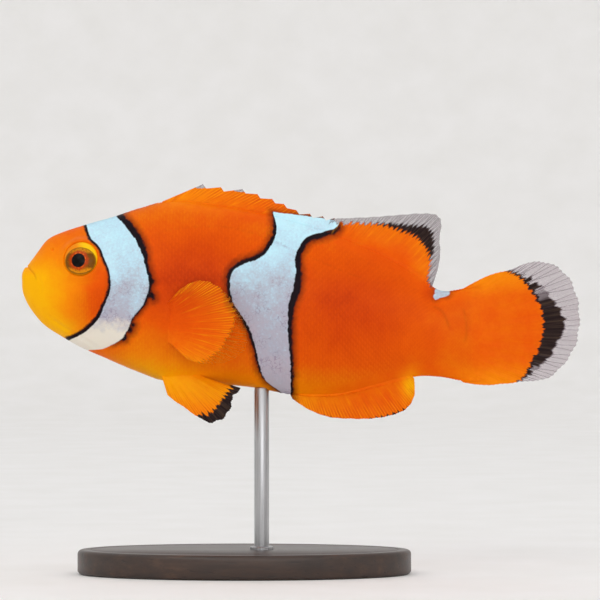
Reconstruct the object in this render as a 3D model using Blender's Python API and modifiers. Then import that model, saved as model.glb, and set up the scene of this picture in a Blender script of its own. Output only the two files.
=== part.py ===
"""Clownfish, a life-size museum model held swimming on a plain display stand.

Metres, +Z up.  The head points to -X and the left flank faces -Y.  The origin is on the floor, under
the middle of the fish's length.  Every size below is in millimetres; heights of the fish are measured
from its own datum, a level line SWIM_HEIGHT above the floor.

The body is one loft, parted by thin cuts into head, lower jaw, gill covers, trunk and tail stalk.
Each fin is a loft of ray columns whose roots are trimmed to the body.
"""

import math

import bmesh
import bpy
from mathutils import Vector

# ---------------------------------------------------------------------------------------------
# Driving dimensions, in millimetres
# ---------------------------------------------------------------------------------------------
MM = 0.001
GAP = 0.3  # clearance that parts neighbouring solids
SWIM_HEIGHT = 44.0  # height of the fish's datum above the floor

BODY_RINGS = 38  # rings along the body loft
BODY_SIDES = 32  # points round each ring
BACK_RIDGE = 0.20  # how much narrower than an ellipse a ring is at the back
BELLY_KEEL = 0.08  # and at the belly
WIDEST_LEVEL = 0.04  # where a ring is widest, as a share of its half height above the middle

# Body stations from snout to tail fin root: back x, back z, belly x, belly z, half width.
BODY_STATIONS = (
    (-45.0, 3.6, -45.0, 3.6, 0.0),
    (-44.7, 5.3, -44.9, 1.7, 1.25),
    (-43.7, 6.4, -44.2, -0.1, 2.1),
    (-42.5, 8.1, -43.1, -1.8, 2.9),
    (-40.8, 10.2, -41.4, -3.7, 3.8),
    (-38.3, 11.5, -38.8, -5.5, 4.7),
    (-35.0, 12.6, -35.6, -7.4, 5.5),
    (-30.6, 13.8, -31.0, -9.4, 6.2),
    (-26.0, 15.3, -26.2, -11.4, 6.7),
    (-20.5, 16.6, -21.0, -13.1, 7.0),
    (-14.0, 16.0, -14.0, -13.4, 6.9),
    (-7.5, 15.0, -8.0, -13.9, 6.5),
    (-1.0, 13.4, -1.0, -15.1, 5.9),
    (6.0, 11.1, 6.0, -15.2, 5.0),
    (13.0, 8.2, 13.0, -13.6, 4.0),
    (18.5, 5.2, 18.5, -12.2, 3.1),
    (22.5, 2.1, 22.5, -12.2, 2.4),
    (26.6, 2.3, 26.6, -12.8, 1.5),
    (30.2, 2.6, 30.2, -12.4, 0.5),
)

# The tail swings gently to the fish's left from here back.
BEND_START = 4.0
BEND_RATE = 0.0034  # sideways travel for each square millimetre beyond BEND_START

# Cuts, as side-view outlines (x, z).
GILL_SLIT = ((-28.4, 8.2), (-25.8, 5.4), (-24.4, 1.6), (-25.0, -2.8), (-27.6, -6.8), (-30.6, -9.4))
CHEEK_EDGE = ((-32.2, -8.4), (-33.6, -5.0), (-32.6, -0.4), (-31.4, 3.6), (-30.6, 7.4))
NAPE_X = -27.6
THROAT_X = -31.6
GILL_COVER_DEPTH = 2.8  # a gill cover's inner face, from the middle plane
JAW_ZONE = ((-46.0, 6.4), (-44.1, 5.7), (-41.9, 3.7), (-39.4, -0.6), (-38.4, -8.0), (-46.0, -8.0))
TAIL_STALK_X = 19.6
CUT_REACH = 40.0  # how far cutters run past the body

# Eyes: flattened balls, tilted to the cheek.
EYE_X = -35.5
EYE_Z = 7.0
EYE_RADIUS = 2.75
EYE_DEPTH = 1.35
EYE_INSET = 0.35
EYE_UP = math.radians(22.0)
EYE_FORWARD = math.radians(12.0)

# Stand
BASE_LENGTH = 54.0
BASE_WIDTH = 31.0
BASE_THICKNESS = 4.0
BASE_X = -9.0
BASE_EDGE = 0.7
ROD_RADIUS = 1.2
ROD_X = -6.2

# Fin blades
ROOT_DEPTH = 1.6  # how deep a fin's root line lies in the body before it is trimmed
FIN_ROOT = 1.3  # blade thickness at the root
FIN_EDGE = 0.5  # and at the margin, in the valleys between rays
RAY_EXTRA = 0.22  # how much thicker a blade is along a ray


# ---------------------------------------------------------------------------------------------
# Curves
# ---------------------------------------------------------------------------------------------
def catmull(before, start, end, after, t):
    """The point at t between start and end of a Catmull-Rom curve."""
    return tuple(
        0.5 * (2 * b + (c - a) * t + (2 * a - 5 * b + 4 * c - d) * t * t + (3 * b - a - 3 * c + d) * t**3)
        for a, b, c, d in zip(before, start, end, after)
    )


def along(knots, share, first=None):
    """The point at a share from 0 to 1 along a smooth curve through the knots, evenly by knot."""
    place = share * (len(knots) - 1)
    i = min(int(place), len(knots) - 2)
    before = knots[i - 1] if i else (first or mirrored(knots[0], knots[1]))
    after = knots[i + 2] if i + 2 < len(knots) else mirrored(knots[-1], knots[-2])
    return catmull(before, knots[i], knots[i + 1], after, place - i)


def mirrored(centre, other):
    """The point as far beyond centre as other is before it."""
    return tuple(2 * c - o for c, o in zip(centre, other))


def bend(x):
    """Sideways travel of the middle plane at x, where the tail swings."""
    return -BEND_RATE * max(0.0, x - BEND_START) ** 2


def placed(x, y, z):
    """A fish point in millimetres as a world point in metres, bent and at swimming height."""
    return Vector((x, y + bend(x), z + SWIM_HEIGHT)) * MM


# ---------------------------------------------------------------------------------------------
# Meshes and materials
# ---------------------------------------------------------------------------------------------
def clear_scene():
    for old in list(bpy.data.objects):
        bpy.data.objects.remove(old, do_unlink=True)


def new_collection(name):
    made = bpy.data.collections.new(name)
    bpy.context.scene.collection.children.link(made)
    return made


def material(name, colour, roughness, metallic=0.0):
    made = bpy.data.materials.new(name)
    made.use_nodes = True
    made.diffuse_color = (*colour, 1.0)
    shader = made.node_tree.nodes["Principled BSDF"]
    shader.inputs["Base Color"].default_value = (*colour, 1.0)
    shader.inputs["Roughness"].default_value = roughness
    shader.inputs["Metallic"].default_value = metallic
    return made


def object_from(name, bm, collection, finish=None, smooth_angle=40.0):
    """A new object that holds the bmesh, facing outwards."""
    bmesh.ops.recalc_face_normals(bm, faces=bm.faces)
    mesh = bpy.data.meshes.new(name)
    bm.to_mesh(mesh)
    bm.free()
    mesh.shade_smooth()
    mesh.set_sharp_from_angle(angle=math.radians(smooth_angle))
    made = bpy.data.objects.new(name, mesh)
    collection.objects.link(made)
    if finish:
        mesh.materials.append(finish)
    return made


def helper(made):
    """Marks an object as a cutter, which is not part of the fish."""
    made.hide_render = True
    made.display_type = "WIRE"
    return made


def boolean(target, cutter, operation):
    cut = target.modifiers.new(f"{operation.lower()} {cutter.name}", "BOOLEAN")
    cut.operation = operation
    cut.object = cutter
    cut.solver = "EXACT"


# ---------------------------------------------------------------------------------------------
# Body
# ---------------------------------------------------------------------------------------------
def body_station(share):
    """Back x, back z, belly x, belly z and half width at a share of the body's length."""
    x_back, z_back, x_belly, z_belly, half = BODY_STATIONS[1]
    through_snout = (x_belly, z_belly, x_back, z_back, -half)
    return along(BODY_STATIONS, share, first=through_snout)


def body_ring(share):
    """The points round the body at a share of its length, from the back down the left flank."""
    x_back, z_back, x_belly, z_belly, half = body_station(share)
    ring = []
    for i in range(BODY_SIDES):
        turn = 2 * math.pi * i / BODY_SIDES
        up = math.cos(turn)
        level = up + WIDEST_LEVEL * (1 - up * up)
        pinch = 1 - BACK_RIDGE * max(up, 0) ** 2 - BELLY_KEEL * max(-up, 0) ** 2
        x = (x_back + x_belly) / 2 + level * (x_back - x_belly) / 2
        z = (z_back + z_belly) / 2 + level * (z_back - z_belly) / 2
        ring.append(placed(x, -half * math.sin(turn) * pinch, z))
    return ring


def body_bmesh(grow=0.0):
    """The whole body as one closed loft, swelled by grow millimetres."""
    bm = bmesh.new()
    snout = bm.verts.new(placed(BODY_STATIONS[0][0], 0, BODY_STATIONS[0][1]))
    rings = []
    for i in range(1, BODY_RINGS + 1):
        # Rings lie closer together towards the snout.
        share = (i / BODY_RINGS) ** 1.25
        rings.append([bm.verts.new(p) for p in body_ring(share)])
    for i in range(BODY_SIDES):
        j = (i + 1) % BODY_SIDES
        bm.faces.new((snout, rings[0][i], rings[0][j]))
        for near, far in zip(rings, rings[1:]):
            bm.faces.new((near[i], far[i], far[j], near[j]))
    bm.faces.new(rings[-1])
    bmesh.ops.recalc_face_normals(bm, faces=bm.faces)
    bm.normal_update()
    moves = [(v, v.normal * grow * MM) for v in bm.verts]
    for vert, move in moves:
        vert.co += move
    return bm


def prism(name, outline, y_near, y_far, cutters, grow=0.0):
    """A side-view outline carried across the fish from y_near to y_far, swelled by grow."""
    bm = bmesh.new()
    near = [bm.verts.new(Vector((x, y_near, z + SWIM_HEIGHT)) * MM) for x, z in outline]
    face = bm.faces.new(near)
    moved = bmesh.ops.extrude_face_region(bm, geom=[face])["geom"]
    step = Vector((0, (y_far - y_near) * MM, 0))
    bmesh.ops.translate(bm, vec=step, verts=[g for g in moved if isinstance(g, bmesh.types.BMVert)])
    bmesh.ops.recalc_face_normals(bm, faces=bm.faces)
    bm.normal_update()
    if grow:
        shells = [(v, v.normal * v.calc_shell_factor() * grow * MM) for v in bm.verts]
        for vert, move in shells:
            vert.co += move
    return helper(object_from(name, bm, cutters))


def smooth_outline(knots, steps):
    """Points on a smooth curve through the knots."""
    return [along(knots, i / steps) for i in range(steps + 1)]


def head_outline():
    """The side view of all that lies in front of the gill slits."""
    slit = smooth_outline(GILL_SLIT, 12)
    top, low, front = CUT_REACH, -CUT_REACH, BODY_STATIONS[0][0] - CUT_REACH
    return [(front, top), (NAPE_X, top), *slit, (THROAT_X, low), (front, low)]


def gill_cover_outline():
    """The side view of a gill cover, from the slit round the cheek's edge."""
    return [*smooth_outline(GILL_SLIT, 12), *smooth_outline(CHEEK_EDGE, 8)]


def eye_placement(side):
    """(centre, outward direction) of the eye on one side, -1 for left and 1 for right."""
    outward = Vector(
        (
            -math.sin(EYE_FORWARD),
            side * math.cos(EYE_FORWARD) * math.cos(EYE_UP),
            math.cos(EYE_FORWARD) * math.sin(EYE_UP),
        )
    )
    cheek = side * cheek_half_width(EYE_X, EYE_Z)
    centre = placed(EYE_X, cheek, EYE_Z) - outward * EYE_INSET * MM
    return centre, outward


def cheek_half_width(x, z):
    """The body's half width at a side-view point, read off the loft."""
    share = min(range(400), key=lambda i: abs(middle_x(i / 400) - x)) / 400
    _, z_back, _, z_belly, half = body_station(share)
    level = (z - (z_back + z_belly) / 2) / ((z_back - z_belly) / 2)
    up = level - WIDEST_LEVEL * (1 - level * level)
    return half * math.sqrt(1 - up * up) * (1 - BACK_RIDGE * max(up, 0) ** 2)


def middle_x(share):
    x_back, _, x_belly, _, _ = body_station(share)
    return (x_back + x_belly) / 2


def eyeball(name, side, collection, finish=None, grow=0.0):
    """A flattened ball that looks out from the cheek."""
    centre, outward = eye_placement(side)
    bm = bmesh.new()
    bmesh.ops.create_uvsphere(bm, u_segments=18, v_segments=10, radius=1.0)
    size = Vector((EYE_RADIUS + grow, EYE_RADIUS + grow, EYE_DEPTH + grow)) * MM
    bmesh.ops.scale(bm, vec=size, verts=bm.verts)
    made = object_from(name, bm, collection, finish)
    made.location = centre
    made.rotation_mode = "QUATERNION"
    made.rotation_quaternion = outward.to_track_quat("Z", "Y")
    return made


def build_body(parts, cutters, finishes):
    """Head, lower jaw, gill covers, trunk, tail stalk and eyes, each parted by a thin cut."""
    flesh = finishes["orange"]
    reach = CUT_REACH
    head_zone = prism("head_zone", head_outline(), -reach, reach, cutters)
    head_zone_wide = prism("head_zone_wide", head_outline(), -reach, reach, cutters, GAP)
    jaw_zone = prism("jaw_zone", JAW_ZONE, -reach, reach, cutters)
    jaw_zone_wide = prism("jaw_zone_wide", JAW_ZONE, -reach, reach, cutters, GAP)
    far_back = TAIL_STALK_X + reach
    stalk = [(TAIL_STALK_X, reach), (far_back, reach), (far_back, -reach), (TAIL_STALK_X, -reach)]
    stalk_zone = prism("stalk_zone", stalk, -reach, reach, cutters)
    stalk_zone_wide = prism("stalk_zone_wide", stalk, -reach, reach, cutters, GAP)

    head = object_from("head", body_bmesh(), parts, flesh)
    boolean(head, head_zone, "INTERSECT")
    boolean(head, jaw_zone_wide, "DIFFERENCE")

    jaw = object_from("lower_jaw", body_bmesh(), parts, flesh)
    boolean(jaw, jaw_zone, "INTERSECT")

    trunk = object_from("trunk", body_bmesh(), parts, flesh)
    boolean(trunk, head_zone_wide, "DIFFERENCE")
    boolean(trunk, stalk_zone_wide, "DIFFERENCE")

    tail = object_from("tail_stalk", body_bmesh(), parts, flesh)
    boolean(tail, stalk_zone, "INTERSECT")

    for side, word in ((-1, "left"), (1, "right")):
        inner, outer = side * GILL_COVER_DEPTH, side * reach
        outline = gill_cover_outline()
        zone = prism(f"gill_zone_{word}", outline, inner, outer, cutters)
        zone_wide = prism(f"gill_zone_wide_{word}", outline, inner, outer, cutters, GAP)
        cover = object_from(f"gill_cover_{word}", body_bmesh(), parts, finishes["white"])
        boolean(cover, zone, "INTERSECT")
        boolean(head, zone_wide, "DIFFERENCE")
        eyeball(f"eye_{word}", side, parts, finishes["eye"])
        socket = helper(eyeball(f"eye_socket_{word}", side, cutters, grow=GAP))
        boolean(head, socket, "DIFFERENCE")


# ---------------------------------------------------------------------------------------------
# Fins
# ---------------------------------------------------------------------------------------------
def fin_blade(name, columns, rows, body_wide, parts, finish):
    """A fin as a loft of columns that run from root to margin.

    Each column is (line, thickness at root, thickness at margin), and its line turns a share from
    0 to 1 into a fish point.  The blade's two faces lie half the thickness to each side of the lines.
    """
    middle = [[Vector(line(j / rows)) for j in range(rows + 1)] for line, _, _ in columns]
    last = len(columns) - 1
    bm = bmesh.new()
    faces = {1: [], -1: []}
    for i, (_, root, margin) in enumerate(columns):
        for j in range(rows + 1):
            across = middle[min(i + 1, last)][j] - middle[max(i - 1, 0)][j]
            out = middle[i][min(j + 1, rows)] - middle[i][max(j - 1, 0)]
            normal = across.cross(out).normalized()
            thickness = root + (margin - root) * j / rows
            for side, grid in faces.items():
                point = middle[i][j] + normal * side * thickness / 2
                grid.append(bm.verts.new(placed(*point)))
    step = rows + 1
    for grid, turned in ((faces[1], False), (faces[-1], True)):
        for i in range(last):
            for j in range(rows):
                corner = i * step + j
                quad = [grid[k] for k in (corner, corner + 1, corner + step + 1, corner + step)]
                bm.faces.new(reversed(quad) if turned else quad)
    border = [i * step for i in range(last + 1)]
    border += [last * step + j for j in range(1, rows + 1)]
    border += [i * step + rows for i in range(last - 1, -1, -1)]
    border += [j for j in range(rows - 1, 0, -1)]
    for a, b in zip(border, border[1:] + border[:1]):
        bm.faces.new((faces[1][a], faces[1][b], faces[-1][b], faces[-1][a]))
    fin = object_from(name, bm, parts, finish, smooth_angle=60.0)
    boolean(fin, body_wide, "DIFFERENCE")
    return fin


def straight(root, margin):
    """A column line from root to margin."""
    return lambda share: tuple(r + (m - r) * share for r, m in zip(root, margin))


def curved(root, lift, margin):
    """A column line that leaves the root towards lift and ends at the margin."""
    return lambda t: tuple(
        r * (1 - t) ** 2 + 2 * p * t * (1 - t) + m * t * t for r, p, m in zip(root, lift, margin)
    )


def pleats(roots, margins, rays, notch=0.015, root_thickness=FIN_ROOT):
    """Columns of a rayed fin in the middle plane: a valley, a ray, a valley and so on.

    The roots and margins are side-view curves of (x, z) knots.  Margins in the valleys fall short
    of the ray tips by a notch, a share of the ray's length.
    """
    columns = []
    for i in range(2 * rays + 1):
        share = i / (2 * rays)
        on_ray = i % 2 == 1
        root, margin = along(roots, share), along(margins, share)
        reach = 1.0 if on_ray else 1.0 - notch
        tip = [r + (m - r) * reach for r, m in zip(root, margin)]
        line = straight((root[0], 0.0, root[1]), (tip[0], 0.0, tip[1]))
        extra = RAY_EXTRA if on_ray else 0.0
        columns.append((line, root_thickness + extra, FIN_EDGE + extra))
    return columns


# Spines of the front dorsal fin lean back so far that their tips stand like saw teeth.
SPINE_TIPS = (
    (-15.7, 19.1), (-12.8, 18.6), (-9.3, 18.3), (-6.9, 17.5), (-4.5, 16.7),
    (-2.6, 15.9), (-0.6, 14.9), (1.6, 14.3), (3.7, 13.9), (5.6, 13.6),
)
SPINE_ROOTS = ((-23.2, 14.3), (-16.8, 14.5), (-9.0, 13.3), (-2.0, 11.6), (4.6, 9.6))
SPINE_FRONT = (-22.2, 16.3)  # where the margin starts
SPINE_NOTCH = 0.5  # how far the web behind a tip drops

SOFT_DORSAL_ROOTS = ((4.8, 9.4), (10.5, 7.2), (16.0, 4.2), (20.2, 0.6))
SOFT_DORSAL_MARGIN = (
    (6.0, 13.5), (9.4, 13.7), (12.9, 13.9), (16.4, 14.2), (19.6, 14.4), (22.0, 14.2),
    (22.9, 12.9), (22.6, 10.4), (22.7, 7.9), (22.3, 5.4), (21.3, 2.4),
)

ANAL_ROOTS = ((-2.4, -13.2), (4.5, -13.6), (11.5, -12.2), (17.0, -10.2))
ANAL_MARGIN = (
    (-1.2, -15.7), (1.4, -17.4), (4.6, -18.6), (8.0, -18.9), (11.4, -18.9), (14.6, -18.4),
    (17.2, -17.3), (18.5, -15.2), (18.5, -12.4),
)

TAIL_ROOTS = ((24.0, 0.8), (25.2, -2.0), (25.4, -5.0), (25.2, -8.0), (24.0, -11.0))
TAIL_MARGIN = (
    (27.2, 2.7), (30.6, 4.4), (34.0, 5.3), (37.2, 6.5), (40.6, 6.2), (43.3, 4.0), (44.7, 0.5), (45.0, -3.2),
    (44.4, -6.8), (42.5, -10.0), (39.8, -12.3), (36.2, -12.8), (32.8, -13.2), (29.6, -13.4), (26.4, -13.0),
)

PECTORAL_ROOTS = ((-22.3, 5.6, -1.3), (-22.0, 5.9, -3.8), (-21.2, 5.7, -6.2))
PECTORAL_MARGIN = (
    (-19.4, 7.6, 1.8), (-17.6, 8.3, 3.0), (-15.4, 9.1, 3.5), (-13.0, 9.9, 2.6), (-10.8, 10.6, 0.6),
    (-9.2, 11.1, -2.0), (-8.3, 11.4, -4.8), (-8.6, 11.3, -7.4), (-10.6, 10.7, -9.2), (-13.2, 9.9, -9.9),
    (-15.8, 9.1, -9.8), (-18.0, 8.3, -9.1),
)
PECTORAL_LIFT = 2.2  # how far the rays arch out before they run back

PELVIC_ROOTS = ((-22.6, 1.0, -11.0), (-20.2, 1.6, -11.2), (-17.4, 1.7, -11.5))
PELVIC_MARGIN = (
    (-21.3, 3.2, -15.1), (-18.2, 3.9, -17.3), (-14.7, 4.6, -19.4), (-12.3, 4.9, -18.8), (-11.1, 4.9, -17.0),
    (-10.8, 4.8, -15.3), (-9.4, 4.5, -14.1),
)


def dorsal_spines():
    """Columns of the spiny dorsal fin: each spine with the notched web in front of it."""
    count = len(SPINE_TIPS)
    columns = []
    root, front = along(SPINE_ROOTS, 0.0), SPINE_FRONT
    columns.append((straight((root[0], 0, root[1]), (front[0], 0, front[1])), FIN_ROOT, FIN_EDGE))
    for i, (x, z) in enumerate(SPINE_TIPS):
        root = along(SPINE_ROOTS, (i + 0.6) / count)
        spine = straight((root[0], 0, root[1]), (x, 0, z))
        columns.append((spine, FIN_ROOT + RAY_EXTRA, FIN_EDGE + RAY_EXTRA))
        if i + 1 < count:
            web = along(SPINE_ROOTS, (i + 1.1) / count)
            notch = (x + 0.5, z - SPINE_NOTCH)
            columns.append((straight((web[0], 0, web[1]), (notch[0], 0, notch[1])), FIN_ROOT, FIN_EDGE))
    return columns


def paired_fin(roots, margins, rays, side, lift, notch=0.03):
    """Columns of a fin on one flank, -1 for left and 1 for right, whose rays arch outwards."""
    columns = []
    for i in range(2 * rays + 1):
        share = i / (2 * rays)
        on_ray = i % 2 == 1
        root, margin = along(roots, share), along(margins, share)
        reach = 1.0 if on_ray else 1.0 - notch
        tip = [r + (m - r) * reach for r, m in zip(root, margin)]
        arch = [(r + m) / 2 for r, m in zip(root, tip)]
        arch[1] += lift
        points = [(x, side * y, z) for x, y, z in (root, arch, tip)]
        extra = RAY_EXTRA if on_ray else 0.0
        columns.append((curved(*points), FIN_ROOT * 0.7 + extra, FIN_EDGE + extra))
    return columns


def build_fins(parts, cutters, finishes):
    """All eight fins, trimmed to a body swelled by the gap."""
    body_wide = helper(object_from("body_wide", body_bmesh(GAP), cutters))
    fin, bright = finishes["fin"], finishes["bright fin"]
    fin_blade("dorsal_fin_spiny", dorsal_spines(), 3, body_wide, parts, fin)
    soft = pleats(SOFT_DORSAL_ROOTS, SOFT_DORSAL_MARGIN, 15)
    fin_blade("dorsal_fin_soft", soft, 5, body_wide, parts, fin)
    fin_blade("anal_fin", pleats(ANAL_ROOTS, ANAL_MARGIN, 13), 4, body_wide, parts, fin)
    fin_blade("tail_fin", pleats(TAIL_ROOTS, TAIL_MARGIN, 15), 5, body_wide, parts, fin)
    for side, word in ((-1, "left"), (1, "right")):
        pectoral = paired_fin(PECTORAL_ROOTS, PECTORAL_MARGIN, 16, side, PECTORAL_LIFT)
        fin_blade(f"pectoral_fin_{word}", pectoral, 4, body_wide, parts, bright)
        pelvic = paired_fin(PELVIC_ROOTS, PELVIC_MARGIN, 7, side, lift=0.5)
        fin_blade(f"pelvic_fin_{word}", pelvic, 4, body_wide, parts, bright)
    return body_wide


# ---------------------------------------------------------------------------------------------
# Stand
# ---------------------------------------------------------------------------------------------
def build_stand(parts, cutters, finishes, body_wide):
    """A flat oval base and one rod that rises to the belly."""
    bm = bmesh.new()
    bmesh.ops.create_cone(
        bm, cap_ends=True, segments=48, radius1=0.5, radius2=0.5, depth=1.0,
    )
    bmesh.ops.scale(bm, vec=Vector((BASE_LENGTH, BASE_WIDTH, BASE_THICKNESS)) * MM, verts=bm.verts)
    base = object_from("stand_base", bm, parts, finishes["base"])
    base.location = Vector((BASE_X, 0, BASE_THICKNESS / 2)) * MM
    edge = base.modifiers.new("rounded edge", "BEVEL")
    edge.width = BASE_EDGE * MM
    edge.segments = 2
    edge.limit_method = "ANGLE"

    foot = BASE_THICKNESS + GAP
    top = SWIM_HEIGHT - 10.0
    bm = bmesh.new()
    radius = ROD_RADIUS * MM
    bmesh.ops.create_cone(
        bm, cap_ends=True, segments=24, radius1=radius, radius2=radius, depth=(top - foot) * MM,
    )
    rod = object_from("stand_rod", bm, parts, finishes["rod"])
    rod.location = Vector((ROD_X, 0, (foot + top) / 2)) * MM
    boolean(rod, body_wide, "DIFFERENCE")


def main():
    clear_scene()
    parts = new_collection("clownfish")
    cutters = new_collection("cutters")
    finishes = {
        "orange": material("orange skin", (0.85, 0.18, 0.01), 0.45),
        "white": material("white bar", (0.75, 0.82, 0.85), 0.45),
        "fin": material("fin", (0.90, 0.25, 0.01), 0.50),
        "bright fin": material("bright fin", (0.93, 0.38, 0.02), 0.50),
        "eye": material("eye", (0.02, 0.02, 0.02), 0.10),
        "base": material("stained base", (0.03, 0.02, 0.015), 0.50),
        "rod": material("steel rod", (0.60, 0.60, 0.60), 0.30, metallic=1.0),
    }
    build_body(parts, cutters, finishes)
    body_wide = build_fins(parts, cutters, finishes)
    build_stand(parts, cutters, finishes, body_wide)


main()
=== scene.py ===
"""The looks of a life-size clownfish model on its display stand.

The fish is worked out in millimetres in its own frame: -X to the snout, -Y to the left flank, +Z up,
heights from a level line SWIM_HEIGHT above the floor.  `world` turns those fish points into metres and
swings the tail.  Colour edges are signed distances in the side view, stored on the meshes and turned
into masks by the materials, so the skin, the scales and the fins carry the same markings.
"""

import logging
import math
from collections.abc import Callable
from dataclasses import dataclass, replace
from enum import Enum

import bmesh
import bpy
import numpy as np
from bpy.types import ID, Material, Mesh, Node, NodeSocket, NodeTree, Object
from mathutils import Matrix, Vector

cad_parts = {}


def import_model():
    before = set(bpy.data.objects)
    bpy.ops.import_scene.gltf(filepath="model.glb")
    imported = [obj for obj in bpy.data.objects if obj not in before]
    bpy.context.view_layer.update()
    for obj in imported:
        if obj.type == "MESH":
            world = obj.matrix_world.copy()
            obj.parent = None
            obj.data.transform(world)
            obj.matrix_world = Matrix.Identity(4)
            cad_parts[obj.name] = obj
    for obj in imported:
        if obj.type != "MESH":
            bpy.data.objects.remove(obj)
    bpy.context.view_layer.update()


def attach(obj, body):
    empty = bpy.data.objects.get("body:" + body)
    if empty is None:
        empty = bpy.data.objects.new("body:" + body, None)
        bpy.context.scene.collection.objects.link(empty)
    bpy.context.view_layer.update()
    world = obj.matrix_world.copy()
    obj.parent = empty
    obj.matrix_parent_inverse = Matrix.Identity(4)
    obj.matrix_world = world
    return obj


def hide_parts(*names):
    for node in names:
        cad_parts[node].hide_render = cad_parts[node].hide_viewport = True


LOG = logging.getLogger("clownfish")

MM = 0.001  # in metres
SWIM_HEIGHT = 44.0  # of the fish's level line over the floor
BEND_START = 4.0  # x behind which the tail swings to the left
BEND_RATE = 0.0034  # of that swing, for each square millimetre behind it
PUPIL = 1.12  # radius of an eye's pupil
MOIST_GLOSS = 0.06  # specular level of wet skin and fins
ABSENT = -9.0  # depth in a marking that a fin lacks

Array = np.ndarray
Pair = tuple[float, float]
Knots = tuple[tuple[float, ...], ...]
Rgb = tuple[int, int, int]
Stops = tuple[tuple[float, Rgb], ...]


class Flank(Enum):
    """A side of the fish, as the sign of its Y."""

    LEFT = -1
    RIGHT = 1

    @property
    def word(self) -> str:
        """The side's name in lower case."""
        return self.name.lower()


# ---- Curves and fields ----
def smooth(knots: Knots | Array, shares: Array, first: Array | None = None) -> Array:
    """Points on a Catmull-Rom curve.

    Args:
        knots: The points that the curve passes through.
        shares: Places along it, from 0 at the first knot to 1 at the last, evenly by knot.
        first: The unseen knot before the first; it is mirrored from the second if left out.

    Returns:
        One row for each share.
    """
    k = np.asarray(knots, float)
    before = 2 * k[0] - k[1] if first is None else first
    padded = np.vstack([before, k, 2 * k[-1] - k[-2]])
    place = np.clip(np.asarray(shares, float), 0.0, 1.0) * (len(k) - 1)
    i = np.minimum(place.astype(int), len(k) - 2)
    t = (place - i)[:, None]
    a, b, c, d = (padded[i + j] for j in range(4))
    return 0.5 * (2 * b + (c - a) * t + (2 * a - 5 * b + 4 * c - d) * t**2 + (3 * b - a - 3 * c + d) * t**3)


def ramp(value: Array, low: float, high: float) -> Array:
    """A smooth step of value from 0 at low to 1 at high."""
    t = np.clip((value - low) / (high - low), 0.0, 1.0)
    return t * t * (3 - 2 * t)


def faded(share: Array, end: float) -> Array:
    """Strength along a line that fades out over a share of it at each end."""
    return ramp(share, 0.0, end) * ramp(1 - share, 0.0, end)


def unit(vectors: Array) -> Array:
    """The vectors, each brought to length 1."""
    return vectors / np.maximum(np.linalg.norm(vectors, axis=-1, keepdims=True), 1e-12)


def bend(x: Array) -> Array:
    """Sideways travel of the middle plane at x, where the tail swings to the left."""
    return -BEND_RATE * np.maximum(0.0, x - BEND_START) ** 2


def world(points: Array) -> Array:
    """Fish points in millimetres as world points in metres.

    Args:
        points: Fish points.

    Returns:
        World points, shaped the same.
    """
    p = np.array(points, float)
    p[..., 1] += bend(p[..., 0])
    p[..., 2] += SWIM_HEIGHT
    return p * MM


def fish(points: Array) -> Array:
    """World points in metres as fish points in millimetres.

    Args:
        points: World points.

    Returns:
        Fish points, shaped the same.
    """
    p = np.array(points, float) / MM
    p[..., 1] -= bend(p[..., 0])
    p[..., 2] -= SWIM_HEIGHT
    return p


@dataclass(frozen=True)
class SideCurve:
    """A smooth curve in the side view, which tells its left side from its right.

    Attributes:
        knots: (x, z) points.  Left of the way they run counts as positive.
        pieces: Straight pieces that the curve is measured with.
    """

    knots: Knots
    pieces: int = 60

    def near(self, x: Array, z: Array) -> tuple[Array, Array]:
        """Signed distance to the curve, and the share along it of the nearest point.

        Args:
            x: Side-view x of the points.
            z: Side-view z of the points.

        Returns:
            Two arrays shaped like x.
        """
        line = smooth(self.knots, np.linspace(0, 1, self.pieces + 1))
        best = np.full(np.shape(x), 1e9)
        sign = np.ones(np.shape(x))
        share = np.zeros(np.shape(x))
        for i in range(self.pieces):
            (ax, az), (dx, dz) = line[i], line[i + 1] - line[i]
            t = np.clip(((x - ax) * dx + (z - az) * dz) / (dx * dx + dz * dz), 0.0, 1.0)
            away = np.hypot(x - ax - t * dx, z - az - t * dz)
            closer = away < best
            best = np.where(closer, away, best)
            sign = np.where(closer, np.sign(dx * (z - az) - dz * (x - ax)), sign)
            share = np.where(closer, (i + t) / self.pieces, share)
        return best * sign, share

    def signed(self, x: Array, z: Array) -> Array:
        """Signed distance to the curve."""
        return self.near(x, z)[0]


@dataclass(frozen=True)
class Bar:
    """A white bar with a black margin.

    Attributes:
        front: Its front edge, from the back down.
        rear: Its rear edge, from the belly up.
        front_margin: Black margin along the front edge, as (z, width) from low to high.
        rear_margin: The same along the rear edge.
        top: The line on the dorsal fin that it stays below, from the rear forwards.
        top_margin: Black margin along that line, as (x, width).
    """

    front: Knots
    rear: Knots
    front_margin: Knots
    rear_margin: Knots
    top: Knots = ()
    top_margin: Knots = ((0, 0),)

    def depths(self, x: Array, z: Array) -> tuple[Array, Array]:
        """How deep points lie in the white, and in the white with its margin.

        Args:
            x: Side-view x of the points.
            z: Side-view z of the points.

        Returns:
            Two arrays shaped like x.
        """
        edges = [(self.front, self.front_margin, z), (self.rear, self.rear_margin, z)]
        if self.top:
            edges.append((self.top, self.top_margin, x))
        white = black = np.full(np.shape(x), np.inf)
        for edge, margin, place in edges:
            inside = SideCurve(edge).signed(x, z)
            white = np.minimum(white, inside)
            black = np.minimum(black, inside + np.interp(place, *np.array(margin).T))
        return white, black


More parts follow.
